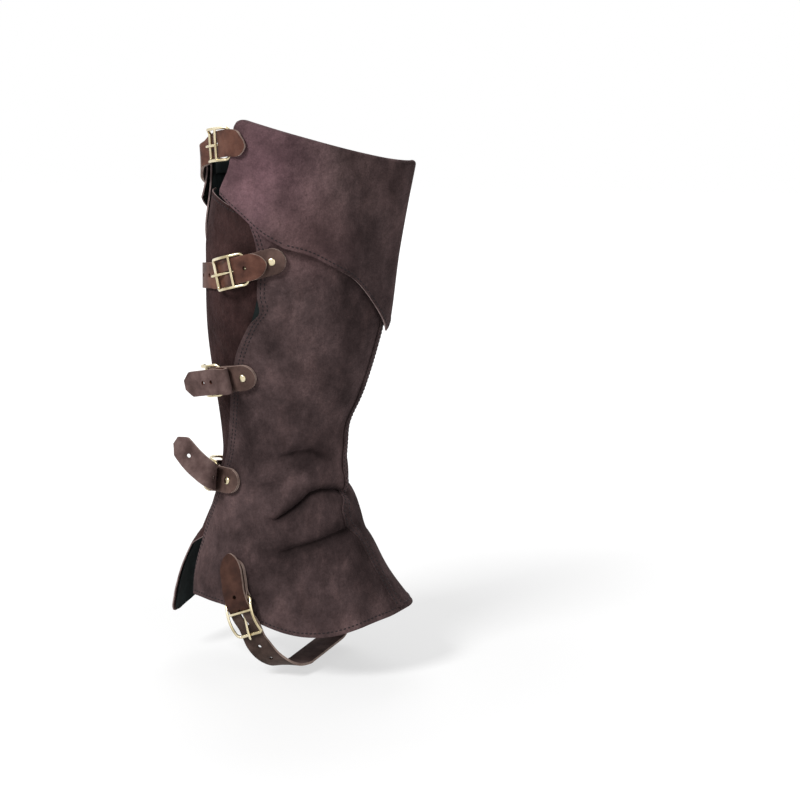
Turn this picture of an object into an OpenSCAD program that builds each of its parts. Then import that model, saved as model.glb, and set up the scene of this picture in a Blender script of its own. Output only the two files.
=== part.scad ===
// Leg gaiter for a right leg: +X points to the toe, +Z up, the buckles are on the -Y side.
// The origin lies on the leg's axis, at the level of the ground under the shoe.
// Every leather piece is laid on one leg shape, at its own distance from it.

/* [Leg shape] */
// Height of the ring round the foot, below the hem
skirt_z = 40; // [30:1:50]
// Depth of the leg space there, from heel to toe
skirt_depth = 200; // [190:1:210]
// Width of the leg space there
skirt_width = 124; // [116:1:132]
// How far forward its middle lies
skirt_lean = 24; // [20:1:28]
// Height of the ring round the instep
instep_z = 90; // [84:1:96]
// Depth of the leg space there
instep_depth = 162; // [154:1:170]
// Width of the leg space there
instep_width = 112; // [106:1:118]
// How far forward its middle lies
instep_lean = 4; // [0:1:8]
// Height of the ring round the ankle
ankle_z = 165; // [160:1:170]
// Depth of the leg space there
ankle_depth = 111; // [106:1:118]
// Width of the leg space there
ankle_width = 92; // [88:1:98]
// How far forward its middle lies
ankle_lean = -4; // [-8:1:0]
// Height of the ring round the thin part of the shin
shin_z = 200; // [195:1:206]
// Depth of the leg space there
shin_depth = 105; // [100:1:112]
// Width of the leg space there
shin_width = 88; // [84:1:94]
// How far forward its middle lies
shin_lean = -2; // [-6:1:2]
// Height of the ring round the calf
calf_z = 300; // [290:1:310]
// Depth of the leg space there
calf_depth = 146; // [138:1:154]
// Width of the leg space there
calf_width = 114; // [108:1:120]
// How far forward its middle lies
calf_lean = 7; // [3:1:11]
// Height of the ring under the knee
knee_z = 375; // [365:1:385]
// Depth of the leg space there
knee_depth = 158; // [150:1:166]
// Width of the leg space there
knee_width = 122; // [116:1:130]
// How far forward its middle lies
knee_lean = 13; // [9:1:17]
// Height of the ring above the rim
top_z = 490; // [485:1:500]
// Depth of the leg space there
top_depth = 180; // [172:1:188]
// Width of the leg space there
top_width = 132; // [124:1:140]
// How far forward its middle lies
top_lean = 24; // [20:1:28]
// How far the front crease stands out at the rim
crease_h = 4; // [0:0.5:6]
// Depth of the ankle wrinkles
wrinkle_h = 4; // [0:0.5:5]

/* [Leather] */
// Thickness of the lining
lining_t = 0.6; // [0.4:0.1:0.7]
// Thickness of the calf panel
calf_t = 1.2; // [1:0.1:1.3]
// Thickness of the front and side panels
panel_t = 1.5; // [1.2:0.1:1.8]
// Thickness of the straps
strap_t = 2.2; // [1.8:0.1:2.4]
// Thickness of the buckle tabs
tab_t = 1.5; // [1.2:0.1:1.6]
// Width of the straps
strap_w = 22; // [18:1:24]
// Clearance between pieces of leather
soft_gap = 0.35; // [0.2:0.05:0.4]

/* [Cuff] */
// Radius of the turned top edge, at the middle of the leather
fold_r = 3.4; // [3.2:0.1:4]
// How far the cuff stands away from the leg at its lower edge
cuff_flare = 3; // [1:0.5:5]
// Length of the cuff's inner leg
cuff_tuck = 9; // [6:1:14]

/* [Zip] */
// Angle of the zip round the leg, from the toe towards the inner side
zip_turn = 75; // [70:1:80]
// Width of the open strip between the panels
zip_gap_w = 11; // [10:0.5:12]
// Width of each tape
zip_tape_w = 13; // [11:0.5:15]
// Height of the teeth above the tape
zip_tooth_h = 1.9; // [1.6:0.1:2.2]
// Width of each row of teeth
zip_tooth_w = 2.6; // [2.2:0.1:3]
// Groove between the rows of teeth
zip_groove = 1.6; // [1.4:0.1:1.8]
// Height of the slider's middle when the zip is shut
slider_z = 336; // [330:1:340]
// Length of the slider
slider_l = 10; // [8:0.5:11]

/* [Buckles] */
// Distance from the rivet to the bar that the tab holds
heel_u = 24; // [22:1:26]
// Distance from the rivet to the raised keeper bar
keeper_u = 35; // [34:1:37]
// Distance from the rivet to the bar that the prong rests on
rest_u = 56; // [54:1:58]
// Radius of the heel and rest bars
bar_r = 1.5; // [1.3:0.1:1.6]
// Radius of the keeper bar and the rails
rail_r = 1.25; // [1.1:0.05:1.3]
// Radius of the prong
prong_r = 1.15; // [1:0.05:1.2]
// Radial running clearance of the prong and the tab on the heel bar
bar_play = 0.08; // [0.05:0.01:0.1]
// Side clearance between a strap and the rails
rail_play = 0.8; // [0.6:0.1:1.5]
// Radius of the rivet heads
rivet_head_r = 3.3; // [2.8:0.1:3.8]
// Radius of the rivet shanks
rivet_r = 1.5; // [1.2:0.1:1.6]
// Clearance of a rivet in its hole
rivet_play = 0.2; // [0.1:0.05:0.3]
// Length of the hole that a prong passes through
prong_slot_l = 15.5; // [14:0.5:16]

/* [Stirrup] */
// Height of the top of the strap under the foot
stirrup_z = 10; // [8:1:14]
// Half the length of the flat stretch under the foot
stirrup_flat = 30; // [26:1:34]

/* [Hidden] */
$fn = 32;

// Which node to draw, or all of them.

// Distance of each layer's faces from the leg.
calf_in = lining_t + soft_gap;
calf_out = calf_in + calf_t;
lin_in = calf_out + soft_gap;
lin_out = lin_in + lining_t;
pan_in = lin_out + soft_gap;
pan_out = pan_in + panel_t;
pan_mid = (pan_in + pan_out) / 2;
leg_in = pan_out + soft_gap;
leg_out = leg_in + tab_t;
leg2_in = leg_out + soft_gap;
leg2_out = leg2_in + tab_t;
heel_h = (leg_out + leg2_in) / 2;
loop_r = bar_r + bar_play + tab_t;
strap_gap = soft_gap + 0.2;
strap_low = calf_out + strap_gap + strap_t / 2;
strap_high = pan_out + strap_gap + strap_t / 2;
rest_h = strap_low + strap_t / 2 + soft_gap + bar_r;
pass_h = heel_h + loop_r + soft_gap + strap_t / 2;
keeper_strap_h = pass_h - 2.2;
keeper_h = keeper_strap_h + strap_t / 2 + soft_gap + rail_r;
tip_h = rest_h + bar_r + 0.05 + prong_r;
half_w = strap_w / 2;
rail_w = half_w + rail_play + rail_r;
split_u = 17;
split_gap = 0.7;
cuff_t = panel_t;
fold_out = pan_mid + fold_r;

function mix(a, b, t) = a + (b - a) * t;
function unit(v) = v / norm(v);
function clamp(x) = min(max(x, 0), 1);
function smooth(x) = let (t = clamp(x)) t * t * (3 - 2 * t);

// The rings of the leg shape: height, lean, half depth, half width.
rings = [[skirt_z, skirt_lean, skirt_depth / 2, skirt_width / 2],
  [instep_z, instep_lean, instep_depth / 2, instep_width / 2],
  [ankle_z, ankle_lean, ankle_depth / 2, ankle_width / 2],
  [shin_z, shin_lean, shin_depth / 2, shin_width / 2],
  [calf_z, calf_lean, calf_depth / 2, calf_width / 2],
  [knee_z, knee_lean, knee_depth / 2, knee_width / 2],
  [top_z, top_lean, top_depth / 2, top_width / 2]];
last_ring = len(rings) - 1;
ring_slopes = [for (i = [0:last_ring])
  let (a = max(i - 1, 0), b = min(i + 1, last_ring))
  (rings[b] - rings[a]) / (rings[b][0] - rings[a][0])];
function ring_no(z, i = 0) = i >= last_ring - 1 || z < rings[i + 1][0] ? i : ring_no(z, i + 1);
function ring_at(z) =
  let (q = min(max(z, skirt_z), top_z), i = ring_no(q))
  let (w = rings[i + 1][0] - rings[i][0], t = (q - rings[i][0]) / w, r = 1 - t)
  rings[i] * ((1 + 2 * t) * r * r) + ring_slopes[i] * (w * t * r * r)
  + rings[i + 1] * (t * t * (3 - 2 * t)) - ring_slopes[i + 1] * (w * t * t * r);

// Angle from the toe, 0 to 180 on both sides.
function turn_of(th) = acos(cos(th));
// The crease down the front of the cuff and the wrinkle above the instep.
function ridge(th, z) =
  let (c = clamp((z - 290) / 150), f = clamp(1 - turn_of(th + 3) / 24))
  let (k = (z - 221) / 18, g = clamp(1 - turn_of(th) / 65))
  crease_h * c * f - wrinkle_h * exp(-k * k) * smooth(g * 2);
// The lower rear corner of the outer side stands off a little.
function kick(th, z) = 7 * clamp((110 - z) / 50) * clamp(1 - turn_of(th + 156) / 34);
// The open back of the top is drawn in by its strap.
function tuck(th, z) = let (q = th < 0 ? th + 360 : th)
  -8 * smooth((z - 370) / 70) * smooth((q - 120) / 50) * smooth((245 - q) / 45);
function leg(th, z, off) =
  let (r = ring_at(z), n = unit([cos(th) / r[2], sin(th) / r[3]]))
  let (f = off + ridge(th, z) + kick(th, z) + tuck(th, z))
  [r[1] + r[2] * cos(th) + f * n[0], r[3] * sin(th) + f * n[1], z];
// Turns an angle by a distance along the leg.
function shift(th, z, s) = th + s / (norm(leg(th + 1, z, 0) - leg(th - 1, z, 0)) / 2);

// Edges of the pieces: height against angle, or angle against height.
function rim(th) =
  let (c = (1 - cos(th)) / 2)
  sin(th) < 0 && th < 0 ? 449 + 50 * c
    : mix(449, 443, smooth(turn_of(th) / 50)) + 6 * smooth((turn_of(th) - 90) / 90);
hem_curve = [[-170, 60], [-150, 65], [-123, 63], [-101, 49], [-87, 43], [-70, 44], [-40, 55],
  [-14, 59], [20, 57], [72, 58], [110, 61]];
cuff_curve = [[-130, 424], [-111, 405], [-97, 389], [-84, 379], [-70, 374], [-41, 352],
  [-20, 324], [-2, 303], [20, 312], [44, 324], [56, 341], [67, 351], [76, 354], [90, 353],
  [120, 368], [150, 392], [195, 420]];
seam_line = [[50, -14], [88, -15], [106, -13], [156, -3], [300, -3], [446, 0]];
lateral_edge = [[50, -165], [88, -165], [120, -161], [142, -154], [172, -143], [189, -137],
  [222, -128], [244, -124], [282, -116], [316, -104], [335, -101], [352, -100], [380, -102],
  [406, -112], [490, -118]];
medial_edge = [[40, 110], [100, 108], [160, 110], [178, 105], [200, 103], [222, 105],
  [240, 115], [270, 132], [320, 152], [380, 172], [420, 190], [500, 190]];
cuff_rear = [[420, -129], [438, -123], [450, -119], [471, -116], [500, -116]];
calf_outer = [[42, 187], [75, 187], [95, 187], [104, 189], [112, 192], [120, 199], [130, 207],
  [142, 214], [189, 232], [222, 242], [282, 254], [316, 264], [352, 268], [406, 258],
  [430, 250]];
calf_bottom = [[98, 69], [110, 68], [130, 64], [150, 57], [165, 50], [178, 44], [188, 42]];
calf_top = [[150, 424], [180, 424], [214, 420], [227, 416], [241, 410], [268, 402]];
tail_end = [[53, 240], [95, 224], [108, 206], [116, 195], [150, 200], [190, 222]];

// How far the tail of the calf panel flares away from the leg.
function flare(th, z) =
  26 * clamp((152 - z) / 106) * smooth((th - 112) / 48)
  * smooth((lookup(z, tail_end) - th) / 22);

// Rows lie closer together at the ankle and at the drawn-in top.
row_spread = [[0, 0], [0.17, 0.25], [0.5, 0.5], [0.72, 0.8], [1, 1]];
function row(v) = lookup(v, row_spread);

// A closed sheet: p gives the point for u, v from 0 to 1 on face 0 or 1.
module sheet(nu, nv, p) {
  m = nv + 1;
  k = (nu + 1) * m;
  pts = [for (s = [0, 1]) for (i = [0:nu]) for (j = [0:nv]) p(i / nu, j / nv, s)];
  faces = concat(
    [for (i = [0:nu - 1]) for (j = [0:nv - 1])
      let (a = i * m + j) each [[a, a + m, a + m + 1], [a, a + m + 1, a + 1]]],
    [for (i = [0:nu - 1]) for (j = [0:nv - 1])
      let (a = k + i * m + j) each [[a, a + m + 1, a + m], [a, a + 1, a + m + 1]]],
    [for (j = [0:nv - 1]) each [[j, j + 1, k + j + 1], [j, k + j + 1, k + j]]],
    [for (j = [0:nv - 1])
      let (a = nu * m + j) each [[a, k + a + 1, a + 1], [a, k + a, k + a + 1]]],
    [for (i = [0:nu - 1])
      let (a = i * m) each [[a, k + a + m, a + m], [a, k + a, k + a + m]]],
    [for (i = [0:nu - 1])
      let (a = i * m + nv) each [[a, a + m, k + a + m], [a, k + a + m, k + a]]]);
  polyhedron(points = pts, faces = faces, convexity = 8);
}

// A band swept along 3-D frames: each station is point, width direction, half width.
function band_axis(q, i) = unit(q[min(i + 1, len(q) - 1)][0] - q[max(i - 1, 0)][0]);
module band(q, t) {
  n = len(q);
  pts = [for (i = [0:n - 1])
    let (e = band_axis(q, i), m = unit(cross(e, q[i][1])), w = unit(cross(m, e)))
    each [q[i][0] - w * q[i][2] - m * t / 2, q[i][0] + w * q[i][2] - m * t / 2,
      q[i][0] + w * q[i][2] + m * t / 2, q[i][0] - w * q[i][2] + m * t / 2]];
  faces = concat([[0, 1, 2], [0, 2, 3]],
    [let (b = 4 * (n - 1)) each [[b, b + 2, b + 1], [b, b + 3, b + 2]]],
    [for (i = [0:n - 2]) for (k = [0:3])
      let (a = 4 * i + k, b = 4 * i + (k + 1) % 4)
      each [[a, b + 4, b], [a, a + 4, b + 4]]]);
  polyhedron(points = pts, faces = faces, convexity = 8);
}

// A strap's line on the leg: samples of point, outward direction and width direction.
function line_table(s) =
  let (c = [for (i = 0, d = 0; i < len(s); d = d + norm(s[min(i + 1, len(s) - 1)][0] - s[i][0]),
    i = i + 1) [d, i]]) c;
function frame_of(p, n, t) = let (m = unit(n - t * (n * t))) [p, m, cross(m, t)];
function normal_at(th, z) =
  unit(cross(leg(th + 1, z, 0) - leg(th - 1, z, 0), leg(th, z + 2, 0) - leg(th, z - 2, 0)));
function leg_line(first, start, last, off, zs) =
  let (s = [for (th = [first:-2:last])
    let (z = lookup(th, zs), a = leg(th + 1, lookup(th + 1, zs), 0))
    let (b = leg(th - 1, lookup(th - 1, zs), 0))
    frame_of(leg(th, z, off), normal_at(th, z), unit(b - a))])
  let (c = line_table(s), f = (first - start) / 2, k = floor(f))
  let (d0 = mix(c[k][0], c[k + 1][0], f - k))
  with_buckle([s, [for (e = c) [e[0] - d0, e[1]]], []]);
function on_line(p, d) =
  let (f = lookup(d, p[1]), i = min(floor(f), len(p[0]) - 2), a = p[0][i], b = p[0][i + 1])
  [mix(a[0], b[0], f - i), unit(mix(a[1], b[1], f - i)), unit(mix(a[2], b[2], f - i))];

// A buckle's axes: the heel bar's middle, along, across and out of the frame, and its length.
function frame_axes(p) =
  let (a = on_line(p, heel_u), c = on_line(p, rest_u), h = a[0] + a[1] * heel_h)
  let (r = c[0] + c[1] * rest_h, x = unit(r - h), w0 = on_line(p, (heel_u + rest_u) / 2)[2])
  let (w = unit(w0 - x * (w0 * x)))
  [h, x, w, cross(x, w), norm(r - h)];
function with_buckle(p) = [p[0], p[1], p[2], frame_axes(p)];

// A place on a strap: point, outward and width directions. Near the buckle the strap lies
// square to the bars and midway between the rails.
function spot(p, d) =
  let (f = on_line(p, d), a = p[3], b = a[2], mid = (heel_u + rest_u) / 2)
  let (g = smooth((abs(d - mid) - mid + heel_u - 2) / 12), w = unit(mix(b, f[2], g)))
  [f[0] - b * ((f[0] - a[0]) * b) * (1 - g), unit(f[1] - w * (f[1] * w)), w];
function at(p, d, h = 0, s = 0) = let (q = spot(p, d)) q[0] + q[1] * h + q[2] * s;
function dist_of(p, th, first) = p[1][round((first - th) / 2)][0];

// The straps' lines, from beyond the tab on the outer side round the back. A line stands off
// the leg a little where the leg is hollow under the strap.
top_line = leg_line(-86, -104, -272, 0.4, [[-280, 419], [-262, 421], [-220, 427], [-190, 435],
  [-172, 443], [-155, 454], [-140, 462], [-128, 465], [-104, 462], [-80, 452]]);
upper_line = leg_line(-71, -91, -275, 0.2, [[-280, 334], [-262, 335], [-180, 347], [-148, 351],
  [-130, 353], [-108, 361], [-91, 368], [-65, 374]]);
mid_line = leg_line(-89, -109, -275, 0.2, [[-280, 246], [-262, 247], [-180, 256], [-157, 259],
  [-118, 266], [-109, 268], [-80, 273]]);
lower_line = leg_line(-106, -126, -283, 0.5, [[-290, 156], [-267, 156], [-254, 160], [-180, 168],
  [-126, 172], [-100, 173]]);

// The stirrup's line: down the outer side, flat under the foot, up inside the inner side.
flat_z = stirrup_z + strap_low - strap_t / 2;
function flat_at(s) = [24.5 + s * 0.15, s, flat_z];
inner_off = -soft_gap - 0.2 - strap_t / 2 - strap_low;
// The stirrup's buckle lies on the panel, so its line stands off there.
stand_off = 1.7;
stirrup_controls = [
  [leg(-119, 132, 0), normal_at(-119, 132)],
  [leg(-116.5, 114, 0), normal_at(-116.5, 114)],
  [leg(-114, 95, 0), normal_at(-114, 95)],
  [leg(-112.5, 72, stand_off), normal_at(-112.5, 72)],
  [leg(-112, 52, stand_off), normal_at(-112, 52)],
  [[-11, -57.5 - stand_off, 38], [-0.1, -1, 0]],
  [[-3, -56.5, 26], [0, -0.93, -0.37]],
  [[7, -51, flat_z + 5], [0, -0.7, -0.7]],
  [[14.5, -42, flat_z + 1], [0, -0.3, -0.95]],
  [flat_at(-stirrup_flat), [0, 0, -1]],
  [flat_at(8 - stirrup_flat), [0, 0, -1]],
  [flat_at(stirrup_flat - 8), [0, 0, -1]],
  [flat_at(stirrup_flat), [0, 0, -1]],
  [[31, 42, flat_z + 1], [0, 0.3, -0.95]],
  [[32.5, 50, flat_z + 5.5], [0, 0.72, -0.7]],
  [[32.5, 53.5, 27], [0, 0.97, -0.2]],
  [[31.5, 54.5, 38], [0.05, 1, 0]],
  [leg(84.5, 50, inner_off), normal_at(84.5, 50)],
  [leg(87, 64, inner_off), normal_at(87, 64)],
  [leg(90, 80, inner_off), normal_at(90, 80)],
  [leg(93, 98, inner_off), normal_at(93, 98)]];
function knot(c, i, k) = c[min(max(i, 0), len(c) - 1)][k];
function curve_at(c, i, t) =
  let (a = knot(c, i - 1, 0), b = knot(c, i, 0), e = knot(c, i + 1, 0), f = knot(c, i + 2, 0))
  let (g = (e - a) / 2, h = (f - b) / 2, r = 1 - t)
  b * ((1 + 2 * t) * r * r) + g * (t * r * r) + e * (t * t * (3 - 2 * t)) - h * (t * t * r);
function loft_line(c, start) =
  let (k = 6, n = (len(c) - 1) * k)
  let (s = [for (j = [0:n])
    let (i = min(floor(j / k), len(c) - 2), t = j / k - i)
    let (p = curve_at(c, i, t), dt = 0.02)
    let (e = unit(curve_at(c, i, t + dt) - curve_at(c, i, t - dt)))
    frame_of(p, mix(c[i][1], c[i + 1][1], t), e)])
  let (q = line_table(s), d0 = q[start * k][0])
  with_buckle([s, [for (e = q) [e[0] - d0, e[1]]], [for (i = [0:len(c) - 1]) q[i * k][0] - d0]]);
stirrup_line = loft_line(stirrup_controls, 2);

// Distances of the far ends and of the places where the straps climb onto the inner panel.
top_edge_u = dist_of(top_line, -166, -86);
top_end_u = dist_of(top_line, -262, -86) + half_w;
upper_edge_u = dist_of(upper_line, -201, -71);
upper_end_u = dist_of(upper_line, -265, -71) + half_w;
mid_edge_u = dist_of(mid_line, -237, -89);
mid_end_u = dist_of(mid_line, -263, -89) + half_w;
lower_edge_u = dist_of(lower_line, -254, -106);
lower_end_u = dist_of(lower_line, -268, -106) + half_w;
stirrup_end_u = stirrup_line[2][19];
top_high = fold_out + cuff_t / 2 + 1.4 + strap_gap + strap_t / 2;

// Stations of a strap from distance, height, half width and sideways shift.
function stations(p, q) = [for (e = q) let (f = spot(p, e[0]))
  [f[0] + f[1] * e[1] + f[2] * (len(e) > 3 ? e[3] : 0), f[2], e[2]]];
buckle_run = [[24.5, pass_h, half_w], [28, pass_h - 0.3, half_w],
  [31.5, pass_h - 1.1, half_w], [keeper_u, keeper_strap_h, half_w],
  [38, keeper_strap_h - 0.9, half_w], [42, mix(strap_low, keeper_strap_h, 0.5), half_w],
  [46, strap_low + 1.1, half_w], [50, strap_low + 0.2, half_w],
  [rest_u, strap_low, half_w], [62, strap_low, half_w]];
function far_run(end, edge, high) =
  let (n = ceil((end - 12 - 62) / 6), st = (end - 12 - 62) / n)
  concat([for (i = [1:n]) let (d = 62 + st * i)
    [d, mix(strap_low, high, smooth((d - edge + 22) / 11)), half_w]],
    [for (a = [20:20:80]) [end - half_w + half_w * sin(a), high, half_w * cos(a)]],
    [[end, high, 0.6]]);
module drill(p, d, r, lo, hi) {
  rod(at(p, d, lo), at(p, d, hi), r);
}
module rod(a, b, r) {
  v = b - a;
  l = norm(v);
  translate(a) rotate([0, acos(v[2] / l), atan2(v[1], v[0])]) cylinder(h = l, r = r);
}
// Draws its children in the frame of a strap: X along it, Y across it, Z outwards.
module on(p, d, h) {
  f = spot(p, d);
  t = cross(f[2], f[1]);
  o = f[0] + f[1] * h;
  multmatrix([[t[0], f[2][0], f[1][0], o[0]], [t[1], f[2][1], f[1][1], o[1]],
    [t[2], f[2][2], f[1][2], o[2]]]) children();
}
module prong_slot(p) {
  l = prong_slot_l - 3.4;
  on(p, rest_u - 8 - prong_slot_l / 2, 2) {
    translate([-l / 2, -1.7, 0]) cube([l, 3.4, 8.6]);
    for (x = [-l / 2, l / 2]) translate([x, 0, 0]) cylinder(h = 8.6, r = 1.7);
  }
}
module strap(p, head, end, edge, high, holes) {
  difference() {
    band(stations(p, concat(head, buckle_run, far_run(end, edge, high))), strap_t);
    prong_slot(p);
    drill(p, end - half_w, rivet_r + rivet_play, high - 4, high + 4);
    for (e = holes) drill(p, e[0], 1.8, e[1] - 2.5, e[1] + 2.5);
  }
}
module tab(p) {
  a = (leg_in + leg_out) / 2;
  b = (leg2_in + leg2_out) / 2;
  r = (bar_r + bar_play + tab_t / 2) / cos(10);
  cap = [for (k = [0:15:75]) [-half_w * cos(k), half_w * sin(k)]];
  inner = concat([for (e = cap) [e[0], a, max(e[1], 0.7)]], [[0, a, half_w],
    [10, a, half_w], [heel_u - 5, a, half_w], [heel_u - 2.8, a - 0.4, half_w]]);
  f = p[3];
  n = spot(p, heel_u)[1];
  y = unit(n - f[2] * (n * f[2]));
  x = cross(f[2], y);
  loop = [for (k = [250:20:470]) [f[0] + (x * cos(k) + y * sin(k)) * r, f[2], half_w]];
  outer = concat([[heel_u - 2.8, b + 0.4, half_w], [heel_u - 5, b, half_w],
    [10, b, half_w], [0, b, half_w]],
    [for (i = [len(cap) - 1:-1:0]) [cap[i][0], b, max(cap[i][1], 0.7)]]);
  difference() {
    band(concat(stations(p, inner), loop, stations(p, outer)), tab_t);
    on(p, heel_u, 2) translate([-4.5, -1.8, 0]) cube([9, 3.6, 9.6]);
    drill(p, 0, rivet_r + rivet_play, leg_in - 1, leg2_out + 1);
  }
}
module framed(f) {
  multmatrix([[f[1][0], f[3][0], -f[2][0], f[0][0]], [f[1][1], f[3][1], -f[2][1], f[0][1]],
    [f[1][2], f[3][2], -f[2][2], f[0][2]]]) children();
}
// A buckle frame: two bent rails, the heel bar, the raised keeper bar and the rest bar.
module buckle_frame(p) {
  f = p[3];
  l = f[4];
  k = at(p, keeper_u, keeper_h) - f[0];
  kx = k * f[1];
  kz = k * f[3];
  c = (kx * kx + kz * kz - l * kx) / (2 * kz);
  ra = norm([l / 2, c]);
  a0 = atan2(-c, l / 2);
  a1 = atan2(-c, -l / 2);
  bar_l = 2 * (rail_w + rail_r + 0.3);
  framed(f) {
    for (z = [-rail_w, rail_w])
      translate([l / 2, c, z]) rotate([0, 0, a0])
        rotate_extrude(angle = a1 - a0) translate([ra, 0]) circle(r = rail_r);
    translate([0, 0, -bar_l / 2]) cylinder(h = bar_l, r = bar_r);
    translate([l, 0, -bar_l / 2]) cylinder(h = bar_l, r = bar_r);
    translate([kx, kz, -rail_w]) cylinder(h = 2 * rail_w, r = rail_r - 0.1);
  }
}
// A round wire through stations of point, width direction and radius.
module wire(q) {
  n = len(q);
  k = 10;
  pts = [for (i = [0:n - 1])
    let (e = band_axis(q, i), m = unit(cross(e, q[i][1])), w = unit(cross(m, e)))
    for (j = [0:k - 1]) q[i][0] + (w * cos(36 * j) + m * sin(36 * j)) * q[i][2]];
  faces = concat([[for (j = [0:k - 1]) j]], [[for (j = [k - 1:-1:0]) k * (n - 1) + j]],
    [for (i = [0:n - 2]) for (j = [0:k - 1])
      let (a = k * i + j, b = k * i + (j + 1) % k) each [[a, b + k, b], [a, a + k, b + k]]]);
  polyhedron(points = pts, faces = faces, convexity = 4);
}
module prong(p) {
  f = p[3];
  wire(stations(p, [[heel_u + bar_r + 0.6, heel_h, prong_r], [30, heel_h - 0.15, prong_r],
    [keeper_u + 1, heel_h - 0.4, prong_r], [41, heel_h - 0.05, prong_r],
    [46, heel_h + 0.75, prong_r], [51, mix(heel_h, tip_h, 0.7), prong_r],
    [rest_u, tip_h, prong_r], [rest_u + 2.4, tip_h + 0.05, prong_r],
    [rest_u + 3.4, tip_h, prong_r * 0.8], [rest_u + 3.8, tip_h, prong_r * 0.4]]));
  difference() {
    framed(f) translate([0, 0, -1.3]) cylinder(h = 2.6, r = bar_r + bar_play + 1.1);
    framed(f) translate([0, 0, -2]) cylinder(h = 4, r = bar_r + bar_play);
  }
}
// A rivet: a shank from the panel out to its domed head.
module stud(p, d, lo, hi, dome = 0.9) {
  on(p, d, 0) {
    translate([0, 0, lo]) cylinder(h = hi + 0.6 - lo, r = rivet_r);
    translate([0, 0, hi + 0.2]) cylinder(h = 0.6, r = rivet_head_r);
    if (dome > 0)
      translate([0, 0, hi + 0.75]) cylinder(h = dome, r1 = rivet_head_r - 0.3, r2 = 1.4);
  }
}

// The heights between which the side edges of a panel, the calf panel and the cuff are read,
// a little inside the lowest and highest rings, and how far the calf panel reaches in under
// the panel on the inner side.
panel_span = [skirt_z + 20, top_z - 20];
calf_span = [skirt_z + 2, top_z - 66];
cuff_span = [top_z - 66, top_z - 10];
calf_under = 10;
calf_front = 98;

// A panel between two edges, from its hem to its top.
function plate(a, b, lo, hi, u, v, off) =
  let (r = row(v), zn = mix(panel_span[0], panel_span[1], r), th = mix(a(zn), b(zn), u))
  leg(th, mix(lo(th), hi(th), r), off);
under_fold = fold_r + cuff_t / 2;
hem = function (th) lookup(th > 180 ? 110 : th, hem_curve);
hem_up = function (th) hem(th) + 2;
panel_top = function (th) rim(th) - under_fold;
lateral_a = function (z) lookup(z, lateral_edge);
lateral_b = function (z) shift(lookup(z, seam_line), z, -0.25);
front_a = function (z) shift(lookup(z, seam_line), z, 0.25);
front_b = function (z) shift(zip_turn, z, -zip_gap_w / 2);
rear_a = function (z) shift(zip_turn, z, zip_gap_w / 2);
rear_b = function (z) lookup(z, medial_edge);
tape_front = function (z) shift(zip_turn, z, -zip_tape_w - 0.8);
tape_rear = function (z) shift(zip_turn, z, zip_tape_w + 0.8);

module lateral_front_panel() {
  color([0.36, 0.27, 0.29]) difference() {
    sheet(18, 30, function (u, v, s) plate(lateral_a, lateral_b, hem, panel_top, u, v,
      s == 0 ? pan_in : pan_out));
    for (p = [top_line, upper_line, mid_line, lower_line, stirrup_line])
      drill(p, 0, rivet_r + rivet_play, pan_in - 2, pan_out + 2);
  }
}
module medial_front_panel() {
  color([0.36, 0.27, 0.29])
    sheet(9, 30, function (u, v, s) plate(front_a, front_b, hem, panel_top, u, v,
      s == 0 ? pan_in : pan_out));
}
module medial_rear_panel() {
  color([0.34, 0.25, 0.27]) difference() {
    sheet(12, 30, function (u, v, s) plate(rear_a, rear_b, hem, panel_top, u, v,
      s == 0 ? pan_in : pan_out));
    drill(upper_line, upper_end_u - half_w, rivet_r + rivet_play, pan_in - 2, pan_out + 2);
    drill(mid_line, mid_end_u - half_w, rivet_r + rivet_play, pan_in - 2, pan_out + 2);
    drill(lower_line, lower_end_u - half_w, rivet_r + rivet_play, pan_in - 2, pan_out + 2);
    drill(stirrup_line, stirrup_end_u - half_w, rivet_r + rivet_play, strap_high, strap_high + 9);
  }
}
function calf_point(u, v, off, m, k = 1) =
  let (r = row(v), zn = mix(calf_span[0], calf_span[1], r))
  let (a = max(lookup(zn, medial_edge) - calf_under, calf_front) + m)
  let (th = mix(a, lookup(zn, calf_outer) - m, u))
  let (z = mix(lookup(th, calf_bottom) + m, lookup(th, calf_top) - m, r))
  leg(th, z, off + flare(th, z) * k - (1 - k) * 8 * smooth((152 - z) / 20));
module calf_panel() {
  color([0.3, 0.2, 0.2])
    sheet(14, 28, function (u, v, s) calf_point(u, v, s == 0 ? calf_in : calf_out, 0));
}
module calf_lining() {
  color([0.1, 0.1, 0.11])
    sheet(14, 28, function (u, v, s) calf_point(u, v, s == 0 ? 0 : lining_t, 1.2, 0.96));
}
module lateral_lining() {
  color([0.1, 0.1, 0.11])
    sheet(18, 30, function (u, v, s) plate(lateral_a, lateral_b, hem_up, panel_top,
      mix(0.015, 1, u), v, s == 0 ? lin_in : lin_out));
}
module medial_front_lining() {
  color([0.1, 0.1, 0.11])
    sheet(9, 30, function (u, v, s) plate(front_a, tape_front, hem_up, panel_top, u, v,
      s == 0 ? lin_in : lin_out));
}
module medial_rear_lining() {
  color([0.1, 0.1, 0.11]) difference() {
    sheet(12, 30, function (u, v, s) plate(tape_rear, rear_b, hem_up, panel_top,
      mix(0, 0.98, u), v, s == 0 ? lin_in : lin_out));
    drill(stirrup_line, stirrup_end_u - half_w, rivet_r + rivet_play, strap_high - 3, strap_high + 5);
  }
}

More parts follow.
